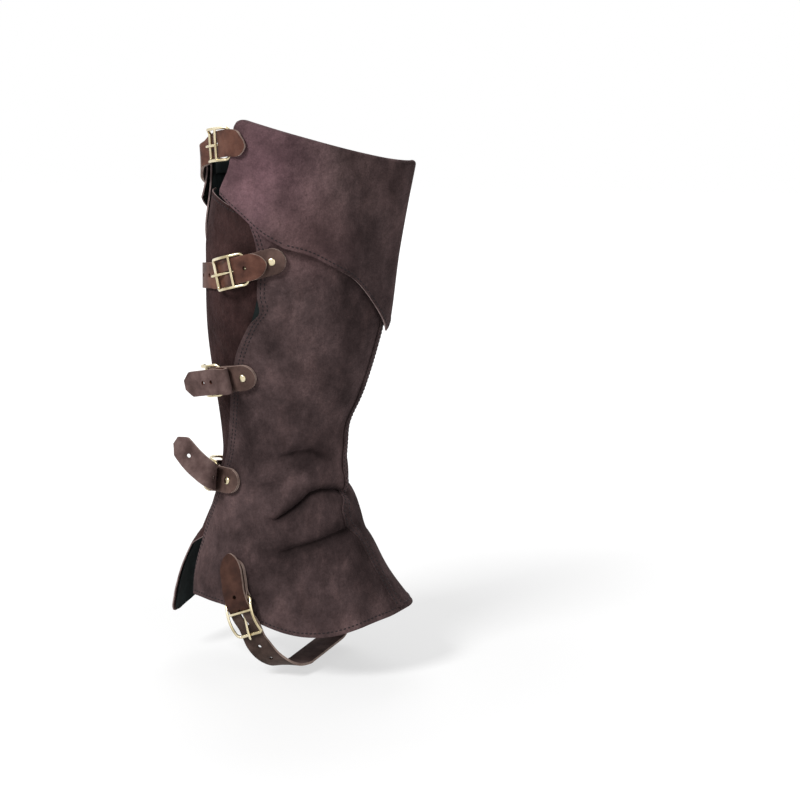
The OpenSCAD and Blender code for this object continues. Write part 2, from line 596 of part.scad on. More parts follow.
// The cuff: an outer leg, the turned edge and a short inner leg. On the outer side it bulges
// over the top tab, and its rear edge lies flatter, under the strap's free end.
tab_bulge = 3.5;
rear_bulge = 3.1;
function bulge(th) =
  tab_bulge * smooth((-74 - th) / 18) - (tab_bulge - rear_bulge) * smooth((-104 - th) / 10);
function flare_at(th) = cuff_flare * mix(1, 0.1, smooth((-86 - th) / 26));
function cuff_point(th, j, s) =
  let (zr = rim(th) - under_fold, zl = lookup(th, cuff_curve), h = (s - 0.5) * cuff_t)
  j <= 6
    ? let (v = j / 6)
      leg(th, mix(zl, zr, v), fold_out + h + flare_at(th) * pow(1 - v, 1.5)
        + bulge(th) * smooth(v / 0.2 + 0.3))
    : j <= 11
      ? let (a = (j - 6) * 36)
        leg(th, zr + (fold_r + h) * sin(a),
          pan_mid + (fold_r + h) * cos(a) + bulge(th) * (1 + cos(a)) / 2)
      : leg(th, zr - cuff_tuck, pan_mid - fold_r - h);
module cuff(n, a, b) {
  sheet(n, 12, function (u, v, s)
    let (j = round(v * 12), zn = mix(cuff_span[0], cuff_span[1], min(j / 6, 1)))
    cuff_point(mix(a(zn), b(zn), u), j, s));
}
module lateral_cuff() {
  color([0.42, 0.32, 0.35])
    cuff(24, function (z) lookup(z, cuff_rear), function (z) shift(-2, z, -0.25));
}
module medial_front_cuff() {
  color([0.42, 0.32, 0.35])
    cuff(10, function (z) shift(-2, z, 0.25), function (z) shift(zip_turn, z, -zip_gap_w / 2 - 0.4));
}
module medial_rear_cuff() {
  color([0.42, 0.32, 0.35]) difference() {
    cuff(14, function (z) shift(zip_turn, z, zip_gap_w / 2 + 0.4), function (z) 189);
    drill(top_line, top_end_u - half_w, rivet_r + rivet_play, fold_out - 2.2, fold_out + 3);
  }
}
module front_seam_strip() {
  color([0.36, 0.27, 0.29])
    sheet(4, 30, function (u, v, s) let (z = mix(62, 330, v), th = lookup(z, seam_line))
      leg(shift(th, z, mix(-4, 4, u)), z, s == 0 ? pan_out + strap_gap : pan_out + strap_gap + 1.2));
}

// The zip: two tapes, two rows of teeth, a stop at each end, a slider and its pull.
zip_foot = 47;
tooth_gap = 0.15;
zip_head = rim(75) - under_fold - 2;
function zip_point(side, w0, w1, z0, z1, u, v, off) =
  let (z = mix(z0, z1, v)) leg(shift(zip_turn, z, side > 0 ? mix(w0, w1, u) : mix(-w1, -w0, u)),
    z, off);
module tape(side) {
  color([0.08, 0.08, 0.09]) sheet(2, 38, function (u, v, s)
    zip_point(side, 0.3, zip_tape_w, zip_foot, zip_head, u, v, s == 0 ? lin_in : lin_out));
}
module teeth(side) {
  color([0.12, 0.12, 0.13]) sheet(1, 38, function (u, v, s)
    zip_point(side, zip_groove / 2, zip_groove / 2 + zip_tooth_w, zip_foot + 8, zip_head - 6,
      u, v, s == 0 ? lin_out + tooth_gap : lin_out + tooth_gap + zip_tooth_h));
}
function zip_frame(z, h, lo, hi) =
  let (a = leg(zip_turn, lo, h), b = leg(zip_turn, hi, h))
  let (k = unit(b - a), q = leg(zip_turn, z, h), n0 = normal_at(zip_turn, z))
  let (n = unit(n0 - k * (n0 * k))) [q, cross(k, n), k, n];
module zipped(z, h, lo = slider_z - 30, hi = slider_z + 10) {
  f = zip_frame(z, h, lo, hi);
  multmatrix([for (i = [0:2]) [f[1][i], f[2][i], f[3][i], f[0][i]]]) children();
}
module zip_stop(z) {
  color([0.12, 0.12, 0.13]) zipped(z, lin_out + 0.25, z - 5, z + 5)
    translate([-3.4, -2, 0]) cube([6.8, 4, 2.2]);
}
module zip_tape_front() tape(-1);
module zip_tape_rear() tape(1);
module zip_teeth_front() teeth(-1);
module zip_teeth_rear() teeth(1);
module zip_top_stop() zip_stop(zip_head - 3);
module zip_bottom_stop() zip_stop(zip_foot + 4);
tooth_top = lin_out + tooth_gap + zip_tooth_h;
// Height of the pull's pin above the slider's underside.
pull_h = 3.1;
module zip_slider() {
  color([0.14, 0.14, 0.15]) zipped(slider_z, tooth_top + 0.45) {
    translate([-4.4, -slider_l / 2, 0]) cube([8.8, slider_l, 1.4]);
    translate([-0.45, -slider_l / 2 + 1, -1.5]) cube([0.9, slider_l - 2, 1.6]);
    for (x = [-2.6, 1.4]) translate([x, -1.2, 1.3]) cube([1.2, 2.4, pull_h]);
    translate([-2.4, 0, pull_h]) rotate([0, 90, 0]) cylinder(h = 4.8, r = 0.7);
  }
}
module zip_pull() {
  color([0.16, 0.16, 0.17]) zipped(slider_z, tooth_top + 0.45) translate([0, 0, pull_h]) difference() {
    union() {
      translate([-1, 0, 0]) rotate([0, 90, 0]) cylinder(h = 2, r = 1.5);
      translate([-1, -7, -0.6]) cube([2, 6.4, 1.2]);
      translate([-2.8, -22, -0.6]) cube([5.6, 16, 1.2]);
    }
    translate([-2, 0, 0]) rotate([0, 90, 0]) cylinder(h = 4, r = 0.7 + bar_play);
    translate([0, -18.5, -2]) cylinder(h = 4, r = 1.4);
  }
}

// The buckled straps.
grain = [0.36, 0.23, 0.19];
brass = [0.79, 0.71, 0.52];
plain_head = [[split_u, pass_h, half_w], [split_u + 0.6, pass_h, half_w], [21, pass_h, half_w]];
fold_m = 3.4;
mid_head = concat([for (d = [split_u, split_u - 0.6]) [d, pass_h + 2 * fold_m, half_w]],
  [for (a = [90:30:270]) [13 + fold_m * cos(a), pass_h + fold_m + fold_m * sin(a), half_w]],
  plain_head);
fold_l = 8.5;
lower_turn = 126;
lower_rise = 36;
lower_head = concat(
  [for (a = [270 - lower_turn, 273 - lower_turn, each [291 - lower_turn:21:270]])
    [15 + fold_l * cos(a), pass_h + fold_l + fold_l * sin(a), half_w, lower_climb((270 - a) / lower_turn)]],
  [[18, pass_h, half_w], [21, pass_h, half_w]]);
// How far the loop has climbed sideways, for t from 0 at its root to 1 at its top.
function lower_climb(t) = -tan(lower_rise) * fold_l * lower_turn * PI / 360 * t * t;
top_head = [for (d = [split_u, split_u + 0.6, 21])
  [d, pass_h + 1.3 - 0.16 * (d - split_u), half_w]];
module top_strap() color(grain) strap(top_line, top_head, top_end_u, top_edge_u, top_high, []);
module upper_strap() color(grain)
  strap(upper_line, plain_head, upper_end_u, upper_edge_u, strap_high,
    [[22, pass_h], [70, strap_low], [84, strap_low]]);
module mid_strap() color(grain)
  strap(mid_line, mid_head, mid_end_u, mid_edge_u, strap_high, [[70, strap_low]]);
module lower_strap() color(grain)
  strap(lower_line, lower_head, lower_end_u, lower_edge_u, strap_high, []);
tip_w = [[0, 1], [0.6, 1], [1.6, 0.97], [5, 0.88], [8, 0.74], [11, 0.5], [13, 0.24], [13.8, 0.08]];
// Free ends: q gives distance, height and sideways shift along the middle line.
module free_end(p, q) {
  color(grain) band(stations(p, q), strap_t);
}
module top_strap_end() free_end(top_line, [for (e = tip_w)
  [split_u - split_gap - e[0] * 0.8, pass_h + 1.35 + smooth(e[0] / 10) * 1.6, half_w * e[1]]]);
module upper_strap_end() free_end(upper_line, [for (e = tip_w)
  [split_u - split_gap - e[0] * 0.9, pass_h - 0.9 * smooth(e[0] / 13), half_w * e[1]]]);
module stirrup_strap_end() free_end(stirrup_line, concat(
  [for (d = [split_u - split_gap, split_u - split_gap - 0.6, 12, 6, 0]) [d, pass_h + 0.2, half_w]],
  [for (e = tip_w) if (e[0] > 0) [-e[0] * 1.15, pass_h + 0.2 - 1.2 * smooth(e[0] / 13),
    half_w * e[1]]]));
function away(s, r, h) = [split_u + split_gap + r * atan2(s, r + h) * PI / 180,
  norm([r + h, s]) - r];
module mid_strap_end() difference() {
  free_end(mid_line, concat([for (s = [0, 0.6, 8, 16, 24]) let (e = away(s, 62, pass_h + 2 * fold_m))
    [e[0], e[1], half_w]],
    [for (k = tip_w) if (k[0] > 0) let (e = away(24 + k[0] * 1.3, 62, pass_h + 2 * fold_m))
      [e[0], e[1], half_w * k[1]]]));
  drill(mid_line, 23, 1.8, pass_h + 5, pass_h + 10);
  drill(mid_line, 31, 1.8, pass_h + 5, pass_h + 12);
}
// The lower free end leaves the loop's top, straight out to the rear and upwards.
function lower_away(e) =
  let (a = 270 - lower_turn, o = fold_l, k = e * cos(lower_rise))
  [15 + o * cos(a) + k * sin(a), pass_h + o + o * sin(a) - k * cos(a), half_w,
    lower_climb(1) - e * sin(lower_rise)];
module lower_strap_end() difference() {
  free_end(lower_line, concat([for (e = [split_gap, 2, 10, 20]) lower_away(e)],
    [for (k = tip_w) if (k[0] > 0) let (q = lower_away(20 + k[0])) [q[0], q[1], half_w * k[1], q[3]]]));
  let (q = lower_away(18), n = [cos(270 - lower_turn), sin(270 - lower_turn)] * 3)
    rod(at(lower_line, q[0] - n[0], q[1] - n[1], q[3]), at(lower_line, q[0] + n[0], q[1] + n[1], q[3]), 1.8);
}
module stirrup_strap() {
  e = stirrup_end_u;
  k = stirrup_line[2];
  run = concat(plain_head, buckle_run,
    [for (i = [5:9]) each [[(k[i] + k[i + 1]) / 2 + 4, strap_low, half_w],
      [k[i + 1] + 2, strap_low, half_w]]],
    [[k[11] - 2, strap_low, half_w], [k[12], strap_low, half_w]],
    [for (i = [12:17]) each [[(k[i] + k[i + 1]) / 2, strap_low, half_w],
      [k[i + 1], strap_low, half_w]]],
    [for (a = [30:30:60]) [e - half_w + half_w * sin(a), strap_low, half_w * cos(a)]],
    [[e, strap_low, 0.6]]);
  color(grain) difference() {
    band(stations(stirrup_line, run), strap_t);
    prong_slot(stirrup_line);
    drill(stirrup_line, e - half_w, rivet_r + rivet_play, strap_low - 4, strap_low + 4);
    drill(stirrup_line, rest_u + 12, 1.8, strap_low - 2.5, strap_low + 2.5);
    drill(stirrup_line, rest_u + 26, 1.8, strap_low - 2.5, strap_low + 2.5);
  }
}
module top_tab() color(grain) tab(top_line);
module upper_tab() color(grain) tab(upper_line);
module mid_tab() color(grain) tab(mid_line);
module lower_tab() color(grain) tab(lower_line);
module stirrup_tab() color(grain) tab(stirrup_line);
module top_frame() color(brass) buckle_frame(top_line);
module upper_frame() color(brass) buckle_frame(upper_line);
module mid_frame() color(brass) buckle_frame(mid_line);
module lower_frame() color(brass) buckle_frame(lower_line);
module stirrup_frame() color(brass) buckle_frame(stirrup_line);
module top_prong() color(brass) prong(top_line);
module upper_prong() color(brass) prong(upper_line);
module mid_prong() color(brass) prong(mid_line);
module lower_prong() color(brass) prong(lower_line);
module stirrup_prong() color(brass) prong(stirrup_line);
module tab_rivets() color(brass) {
  stud(top_line, 0, pan_in + 0.1, leg2_out, 0);
  for (p = [upper_line, mid_line, lower_line, stirrup_line]) stud(p, 0, pan_in + 0.1, leg2_out);
}
module strap_rivets() color(brass) {
  stud(top_line, top_end_u - half_w, fold_out - 1, top_high + strap_t / 2);
  stud(upper_line, upper_end_u - half_w, pan_in + 0.1, strap_high + strap_t / 2);
  stud(mid_line, mid_end_u - half_w, pan_in + 0.1, strap_high + strap_t / 2);
  stud(lower_line, lower_end_u - half_w, pan_in + 0.1, strap_high + strap_t / 2);
}

lateral_front_panel();
medial_front_panel();
medial_rear_panel();
calf_panel();
lateral_lining();
medial_front_lining();
medial_rear_lining();
calf_lining();
lateral_cuff();
medial_front_cuff();
medial_rear_cuff();
front_seam_strip();
zip_tape_front();
zip_tape_rear();
zip_teeth_front();
zip_teeth_rear();
zip_top_stop();
zip_bottom_stop();
zip_slider();
zip_pull();
top_strap();
top_strap_end();
top_tab();
top_frame();
top_prong();
upper_strap();
upper_strap_end();
upper_tab();
upper_frame();
upper_prong();
mid_strap();
mid_strap_end();
mid_tab();
mid_frame();
mid_prong();
lower_strap();
lower_strap_end();
lower_tab();
lower_frame();
lower_prong();
stirrup_strap();
stirrup_strap_end();
stirrup_tab();
stirrup_frame();
stirrup_prong();
tab_rivets();
strap_rivets();
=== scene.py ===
# %% [markdown]
# # A buckled leg gaiter
# This lesson dresses the CAD frame of a knee-high gaiter. The gaiter is nubuck, a brushed
# leather with no shine, lined in black, with five leather straps and pale brass buckles.
# The sizes are those of the CAD file: each piece of leather is laid on the same leg shape as
# the solids, at the same distance from the leg.

import bmesh
import bpy
from bisect import bisect_right
from math import acos, atan2, ceil, copysign, cos, degrees, exp, hypot, pi, radians, sin, sqrt, tan, tau
from mathutils import Matrix, Vector


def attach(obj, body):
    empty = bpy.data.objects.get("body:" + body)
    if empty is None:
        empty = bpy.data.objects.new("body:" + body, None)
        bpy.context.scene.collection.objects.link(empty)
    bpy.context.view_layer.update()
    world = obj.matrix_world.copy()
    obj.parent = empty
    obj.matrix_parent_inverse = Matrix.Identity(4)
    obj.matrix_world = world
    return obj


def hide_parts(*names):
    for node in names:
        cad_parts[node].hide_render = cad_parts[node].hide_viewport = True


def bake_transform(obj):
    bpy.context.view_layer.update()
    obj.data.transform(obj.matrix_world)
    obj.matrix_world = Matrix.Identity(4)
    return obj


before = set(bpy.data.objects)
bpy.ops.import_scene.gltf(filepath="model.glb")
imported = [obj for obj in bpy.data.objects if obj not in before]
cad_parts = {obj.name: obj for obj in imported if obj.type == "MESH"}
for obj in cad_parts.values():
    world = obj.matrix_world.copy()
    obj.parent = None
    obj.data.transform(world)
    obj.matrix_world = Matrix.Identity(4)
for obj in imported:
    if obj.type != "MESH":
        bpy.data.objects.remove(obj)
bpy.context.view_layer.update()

# %% [markdown]
# ## The camera
# The picture was taken from the outer side, a little in front, by a camera about as high as
# the gaiter's rim. Its height, distance and lens were solved from the ground line and from
# both gaiters of the pair, so the model can be held against the picture edge for edge.

# %% The camera
CAMERA_PLACE = (0.4093, -1.3388, 0.506)
CAMERA_TURN = (radians(79.14), 0.0, radians(12.86))
bpy.ops.object.camera_add(location=CAMERA_PLACE, rotation=CAMERA_TURN)
camera = bpy.context.object
camera.name = "camera"
camera.data.lens = 72.45
camera.data.sensor_width = 36.0
bpy.context.scene.camera = camera

# %% [markdown]
# ## The leg shape
# Seven rings, each an ellipse with its own middle, give the leg. A cubic curve joins them,
# which is what a maker's last does too. A point is named by its angle round the leg from the
# toe (minus is the outer side), its height, and its distance off the leg in millimetres.

# %% Curves
MM = 0.001


def mix(a, b, t):
    return a + (b - a) * t


def clamp(x):
    return min(max(x, 0.0), 1.0)


def smooth(x):
    t = clamp(x)
    return t * t * (3 - 2 * t)


def bell(x):
    return exp(-x * x)


def look(rows, x):
    """Straight lines between the rows' points."""
    if x <= rows[0][0]:
        return rows[0][1]
    for a, b in zip(rows, rows[1:]):
        if x <= b[0]:
            return mix(a[1], b[1], (x - a[0]) / (b[0] - a[0]))
    return rows[-1][1]


def hermite(rows, x):
    """A smooth curve through rows of (x, value, ...), held level past both ends."""
    x = min(max(x, rows[0][0]), rows[-1][0])
    i, last = 0, len(rows) - 1
    while i < last - 1 and x >= rows[i + 1][0]:
        i += 1

    def slope(k, c):
        a, b = max(k - 1, 0), min(k + 1, last)
        return (rows[b][c] - rows[a][c]) / (rows[b][0] - rows[a][0])

    w = rows[i + 1][0] - rows[i][0]
    t = (x - rows[i][0]) / w
    r = 1 - t
    return [rows[i][c] * (1 + 2 * t) * r * r + slope(i, c) * w * t * r * r
            + rows[i + 1][c] * t * t * (3 - 2 * t) - slope(i + 1, c) * w * t * t * r
            for c in range(1, len(rows[0]))]

# %% [markdown]
# Worn leather folds where the foot bends. Each fold here is a line on the leg with a depth
# and a width. The leather sinks along the line, swells on both sides, and its upper side
# sags over the line, which is what makes a fold dark.

# %% Folds
FOLDS = [
    # line of (angle, height), depth, width, how far the upper side sags over it
    ([(-84, 143), (-75, 150), (-63, 158), (-51, 167), (-39, 169), (-24, 167), (-9, 160)], 6.0, 5.0, 6.0),
    ([(-84, 114), (-71, 120), (-56, 124), (-39, 129), (-20, 132)], 4.6, 6.0, 4.4),
    ([(-80, 197), (-65, 203), (-50, 204), (-32, 195)], 3.4, 6.0, 3.4),
    ([(-104, 168), (-92, 171), (-74, 176)], 2.4, 6.0, 2.0),
    ([(-78, 242), (-66, 245), (-55, 243)], 1.1, 7.0, 0.8),
    ([(12, 162), (25, 167), (38, 164), (50, 157)], 3.2, 5.5, 2.5),
    ([(14, 124), (30, 128), (48, 120)], 2.2, 7.0, 1.5),
    ([(14, 200), (30, 204), (48, 198)], 2.2, 6.0, 1.5),
]
DEEPEST = 6
FADE, FADE_IN = 14, 24
ACROSS = 6


def near_folds(th, z):
    """For each fold near a place: how much of it is there, its depth and sag, and where across it."""
    for line, depth, width, over in FOLDS:
        first, last = line[0][0], line[-1][0]
        if first - FADE < th < last + FADE:
            k = (z - look(line, th)) / width
            if abs(k) < ACROSS:
                fade = smooth((th - first + FADE) / FADE_IN) * smooth((last + FADE - th) / FADE_IN)
                yield fade, depth, over, k


def folds(th, z):
    """How far the leather is pushed out, and how far it sags, at a place on the leg."""
    push = sag = 0.0
    for fade, depth, over, k in near_folds(th, z):
        push += depth * fade * (0.5 * bell((k - 2.3) / 1.5) + 0.35 * bell((k + 2.4) / 1.5) - bell(k))
        sag += over * fade * bell((k - 1.0) / 0.9)
    return push, sag

# %% The leg
RINGS = [
    # height, how far forward, half depth, half width
    (40, 24, 100, 62), (90, 4, 81, 56), (165, -4, 55.5, 46), (200, -2, 52.5, 44),
    (300, 7, 73, 57), (375, 13, 79, 61), (490, 24, 90, 66),
]
RING_CACHE = {}


def ring_at(z):
    key = round(z, 2)
    if key not in RING_CACHE:
        RING_CACHE[key] = hermite(RINGS, z)
    return RING_CACHE[key]


def polar(a):
    """Cosine and sine of an angle in degrees."""
    return cos(radians(a)), sin(radians(a))


def turn_of(th):
    return abs((th + 180) % 360 - 180)


def leg(th, z, off, worn=1.0):
    """The point off millimetres from the leg; worn=0 leaves the folds out."""
    cx, a, b = ring_at(z)
    c, s = polar(th)
    nx, ny = c / a, s / b
    n = hypot(nx, ny)
    nx, ny = nx / n, ny / n
    q = th + 360 if th < 0 else th
    f = off
    # The ridge of the front seam, the hollow above the instep, the hem's corner over the
    # heel, and the open back, which is drawn in.
    f += 4 * clamp((z - 290) / 150) * clamp(1 - turn_of(th + 3) / 24)
    f -= 4 * bell((z - 221) / 18) * smooth(2 * clamp(1 - turn_of(th) / 65))
    f += 7 * clamp((110 - z) / 50) * clamp(1 - turn_of(th + 156) / 34)
    f -= 8 * smooth((z - 370) / 70) * smooth((q - 120) / 50) * smooth((245 - q) / 45)
    sag = 0.0
    if worn:
        push, sag = folds((th + 180) % 360 - 180, z)
        f += worn * push
    return Vector((cx + a * c + f * nx, b * s + f * ny, z - worn * sag))


def shift(th, z, s):
    """The angle that lies s millimetres further round the leg."""
    return th + s / ((leg(th + 1, z, 0, 0) - leg(th - 1, z, 0, 0)).length / 2)


def outward(th, z, worn=0.0):
    a = leg(th + 1, z, 0, worn) - leg(th - 1, z, 0, worn)
    return a.cross(leg(th, z + 2, 0, worn) - leg(th, z - 2, 0, worn)).normalized()


print("rear of the leg at 300 mm:", leg(180, 300, 0))

# %% [markdown]
# ## Layers and outlines
# Lining, calf panel, lining and panel lie on each other like cards, with 0.35 mm between them.
# Every outline is a short list of points: a height for an angle, or an angle for a height.

# %% Layers
LINING_T, CALF_T, PANEL_T, STRAP_T, TAB_T = 0.6, 1.2, 1.5, 2.2, 1.5
GAP = 0.35
CALF_OUT = LINING_T + GAP + CALF_T
LIN_OUT = CALF_OUT + GAP + LINING_T
PAN_OUT = LIN_OUT + GAP + PANEL_T
PAN_MID = PAN_OUT - PANEL_T / 2
FOLD_R = 3.4
UNDER_FOLD = FOLD_R + PANEL_T / 2
FOLD_OUT = PAN_MID + FOLD_R
ZIP_TURN, ZIP_GAP, TAPE_W = 75, 11, 13

# %% Outlines
HEM = [
    (-170, 60), (-150, 65), (-123, 63), (-101, 49), (-87, 43), (-70, 44), (-40, 55), (-14, 59), (20, 57),
    (72, 58), (110, 61),
]
CUFF_LOW = [
    (-130, 424), (-111, 405), (-97, 389), (-84, 379), (-70, 374), (-41, 352), (-20, 324), (-2, 303),
    (20, 312), (44, 324), (56, 341), (67, 351), (76, 354), (90, 353), (120, 368), (150, 392), (195, 420),
]
SEAM = [
    (50, -15), (62, -15), (88, -12), (106, -12), (118, -13), (129, -17), (141, -22), (150, -23),
    (159, -13), (170, -5), (200, -3), (300, -3), (446, 0),
]
LATERAL_EDGE = [
    (50, -165), (88, -165), (120, -161), (142, -154), (172, -143), (189, -137), (222, -128), (244, -124),
    (282, -116), (316, -104), (335, -101), (352, -100), (380, -102), (406, -112), (490, -118),
]
MEDIAL_EDGE = [
    (40, 110), (100, 108), (160, 110), (178, 105), (200, 103), (222, 105), (240, 115), (270, 132),
    (320, 152), (380, 172), (420, 190), (500, 190),
]
CUFF_REAR = [(420, -129), (438, -123), (450, -119), (471, -116), (500, -116)]
CALF_OUTER = [
    (42, 187), (75, 187), (95, 187), (104, 189), (112, 192), (120, 199), (130, 207), (142, 214),
    (189, 232), (222, 242), (282, 254), (316, 264), (352, 268), (406, 258), (430, 250),
]
CALF_BOTTOM = [(98, 69), (110, 68), (130, 64), (150, 57), (165, 50), (178, 44), (188, 42)]
CALF_TOP = [(150, 424), (180, 424), (214, 420), (227, 416), (241, 410), (268, 402)]
TAIL_END = [(53, 240), (95, 224), (108, 206), (116, 195), (150, 200), (190, 222)]


SOFT_POINTS = 9


def soften(rows, reach):
    """The same outline with its corners rounded over a few units."""

    def value(x):
        n = SOFT_POINTS
        return sum(look(rows, x + reach * (2 * i / (n - 1) - 1)) for i in range(n)) / n

    return value


hem = soften(HEM, 7)
seam = soften(SEAM, 5)
lateral_edge = soften(LATERAL_EDGE, 9)
medial_edge = soften(MEDIAL_EDGE, 12)
cuff_rear = soften(CUFF_REAR, 4)
calf_outer = soften(CALF_OUTER, 6)
calf_bottom = soften(CALF_BOTTOM, 6)
calf_top = soften(CALF_TOP, 8)
cuff_low_soft = soften(CUFF_LOW, 5)


def cuff_low(th):
    """The cuff's lower edge: its two points stay sharp, the rest is softened."""
    corner = smooth(abs(th + 84) / 6) * smooth(abs(th + 2) / 6)
    return mix(look(CUFF_LOW, th), cuff_low_soft(th), corner)


def rim(th):
    c = (1 - polar(th)[0]) / 2
    if th < 0:
        return 449 + 50 * c
    return mix(449, 443, smooth(turn_of(th) / 50)) + 6 * smooth((turn_of(th) - 90) / 90)


def flare(th, z):
    """How far the tail of the calf panel stands away over the heel."""
    return 26 * clamp((152 - z) / 106) * smooth((th - 112) / 48) * smooth((look(TAIL_END, z) - th) / 22)

# %% [markdown]
# Under the upper buckle the side panel's edge has sprung open: a lens-shaped slit, black
# inside. The panel's edge is drawn forward there and curls out, and so does the calf panel.

# %% The slit
SLIT_Z, SLIT_H, SLIT_W = 326, 9, 4.6


def slit(z):
    return bell((z - SLIT_Z) / SLIT_H)


def lateral_cut(z):
    return lateral_edge(z) + SLIT_W * slit(z)


def lip(th, z):
    """How far the panel's edge curls out beside the slit."""
    return 2.0 * slit(z) * bell((th - lateral_edge(z) - SLIT_W) / 5)


def calf_lip(th, z):
    return 1.6 * slit(z) * bell(((th - 360 if th > 180 else th) - lateral_edge(z) + 4) / 3.5)

# %% [markdown]
# ## Finishes
# Nubuck is sanded leather: it has no shine, and the brushed fibres make cloudy patches. The
# straps are smooth waxed leather with paler cut edges and a rough flesh side. A material here
# is a small tree of nodes on Object coordinates, so it sits still on the piece.

# %% Colour and node helpers
def shade(c):
    """A colour from a six-digit code, or a grey from a number."""
    if not isinstance(c, str):
        return (c, c, c, 1.0)
    parts = [int(c[i : i + 2], 16) / 255 for i in (0, 2, 4)]
    return tuple(v / 12.92 if v <= 0.04045 else ((v + 0.055) / 1.055) ** 2.4 for v in parts) + (1.0,)


def fill(tree, node, values):
    """Sets a node's inputs; where the value is another node's output, it is linked."""
    for key, value in values.items():
        if isinstance(value, bpy.types.NodeSocket):
            tree.links.new(value, node.inputs[key])
        else:
            node.inputs[key].default_value = value


def add(tree, kind, values):
    node = tree.nodes.new("ShaderNode" + kind)
    fill(tree, node, values)
    return node


class Finish:
    """A material being built: the shader and short ways to add nodes before it."""

    def __init__(self, name, rough=0.8, metal=0.0, specular=0.3):
        self.material = bpy.data.materials.new(name)
        self.material.use_nodes = True
        self.tree = self.material.node_tree
        self.shader = self.tree.nodes["Principled BSDF"]
        self.set({"Roughness": rough, "Metallic": metal, "Specular IOR Level": specular})
        self.place = add(self.tree, "TexCoord", {}).outputs["Object"]

    def set(self, values):
        fill(self.tree, self.shader, values)

    def moved(self, at=(0, 0, 0), turn=(0, 0, 0), scale=(1, 1, 1)):
        values = {"Location": at, "Rotation": turn, "Scale": scale, "Vector": self.place}
        return add(self.tree, "Mapping", values).outputs["Vector"]

    def noise(self, scale, detail=3.0, rough=0.5, where=None):
        values = {"Scale": scale, "Detail": detail, "Roughness": rough, "Vector": where or self.place}
        return add(self.tree, "TexNoise", values).outputs["Fac"]

    def ball(self, where):
        """1 in the middle of a ball, falling to 0 at its edge."""
        g = add(self.tree, "TexGradient", {"Vector": where})
        g.gradient_type = "SPHERICAL"
        return g.outputs["Fac"]

    def ramp(self, source, *stops):
        r = add(self.tree, "ValToRGB", {"Fac": source})
        e = r.color_ramp.elements
        while len(e) < len(stops):
            e.new(0.5)
        for item, (where, colour) in zip(e, stops):
            item.position = where
            item.color = shade(colour)
        return r.outputs["Color"]

    def layer(self, a, b, factor, kind="MIX"):
        m = self.tree.nodes.new("ShaderNodeMix")
        m.data_type = "RGBA"
        m.blend_type = kind
        spots = [i for i, s in enumerate(m.inputs) if s.enabled]
        fill(self.tree, m, dict(zip(spots, (factor, a, b))))
        return [s for s in m.outputs if s.enabled][0]

    def darker(self, tone, source, low, high, share):
        """The tone times a ramp of greys; low and high are (place on the ramp, grey)."""
        return self.layer(tone, self.ramp(source, low, high), share, "MULTIPLY")

    def bump(self, source, strength, distance, before=None):
        values = {"Strength": strength, "Distance": distance, "Height": source}
        if before:
            values["Normal"] = before
        return add(self.tree, "Bump", values).outputs["Normal"]

# %% [markdown]
# Nubuck is a leather with its grain side sanded to a short nap. A picture could be laid on it,
# but noise at several sizes does it without a seam: wide clouds, brushed streaks and the fine
# nap, one multiplied over the other. An attribute adds painted shade in the folds: it darkens
# each fold's valley and the leather just below it, where the overhang's shadow falls.

# %% Nubuck
def nubuck_finish(name, dark, mid, light, patches=()):
    """patches: (centre in metres, radius, colour) of lighter spots; the one at the cuff's rear top is
    partly a painted highlight.
    """
    f = Finish(name, rough=0.95, specular=0.06)
    tone = f.ramp(f.noise(13, 3, 0.55), (0.36, dark), (0.5, mid), (0.66, light))
    brushed = f.noise(60, 6, 0.66, f.moved(turn=(0.5, 0.3, 0.4), scale=(1, 1, 0.55)))
    tone = f.layer(tone, f.ramp(brushed, (0.34, dark), (0.5, mid), (0.68, light)), 0.5)
    for centre, radius, colour in patches:
        k = 1 / radius
        near = f.ball(f.moved(at=tuple(-c * k for c in centre), scale=(k, k, k)))
        tone = f.layer(tone, shade(colour), f.ramp(near, (0.0, 0), (0.75, 0.62)))
    tone = f.darker(tone, f.noise(27, 2, 0.5, f.moved(turn=(0.3, 0.8, 0.1))), (0.36, 0.5), (0.6, 1), 0.9)
    # Painted shade: the attribute darkens each fold's valley and the leather just below it, under the
    # overhang, down to 0.3 in the deepest fold.
    crease = add(f.tree, "Attribute", {})
    crease.attribute_name = "crease"
    tone = f.darker(tone, crease.outputs["Fac"], (0.0, 1), (1.0, 0.3), 1.0)
    streaks = f.noise(230, 5, 0.7, f.moved(turn=(0.9, 0.2, 0), scale=(1, 0.5, 1)))
    tone = f.darker(tone, streaks, (0.36, 0.66), (0.62, 1), 0.6)
    tone = f.darker(tone, f.noise(620, 3, 0.7), (0.36, 0.6), (0.64, 1), 0.55)
    fine = f.bump(f.noise(700, 3, 0.6), 0.7, 0.0009)
    pebbled = f.bump(f.noise(150, 5, 0.62), 0.6, 0.0022, fine)
    f.set({"Base Color": tone, "Normal": f.bump(f.noise(32, 3, 0.5), 0.9, 0.008, pebbled)})
    f.set({"Sheen Weight": 0.12, "Sheen Roughness": 0.5, "Sheen Tint": shade("b79a9c")})
    return f.material


# The patch at the cuff's rear top is partly the nap's own lighter tone and partly a painted highlight,
# where the key light falls from the left.
CUFF_NAP_AND_LIGHT_PATCH = ((-0.012, -0.072, 0.446), 0.08, "8a676f")
CUFF_LOW_PATCH = ((0.045, -0.075, 0.385), 0.05, "6a5152")
nubuck = nubuck_finish("nubuck", "3a2e2e", "574747", "765f5e", [CUFF_NAP_AND_LIGHT_PATCH, CUFF_LOW_PATCH])
calf_nubuck = nubuck_finish("calf_nubuck", "241716", "392726", "4c3735")

# %% [markdown]
# The straps are smooth leather, paler where they are cut and rough on the flesh side. They
# all have the same two sizes of noise, so one function makes them, and only the colours differ.

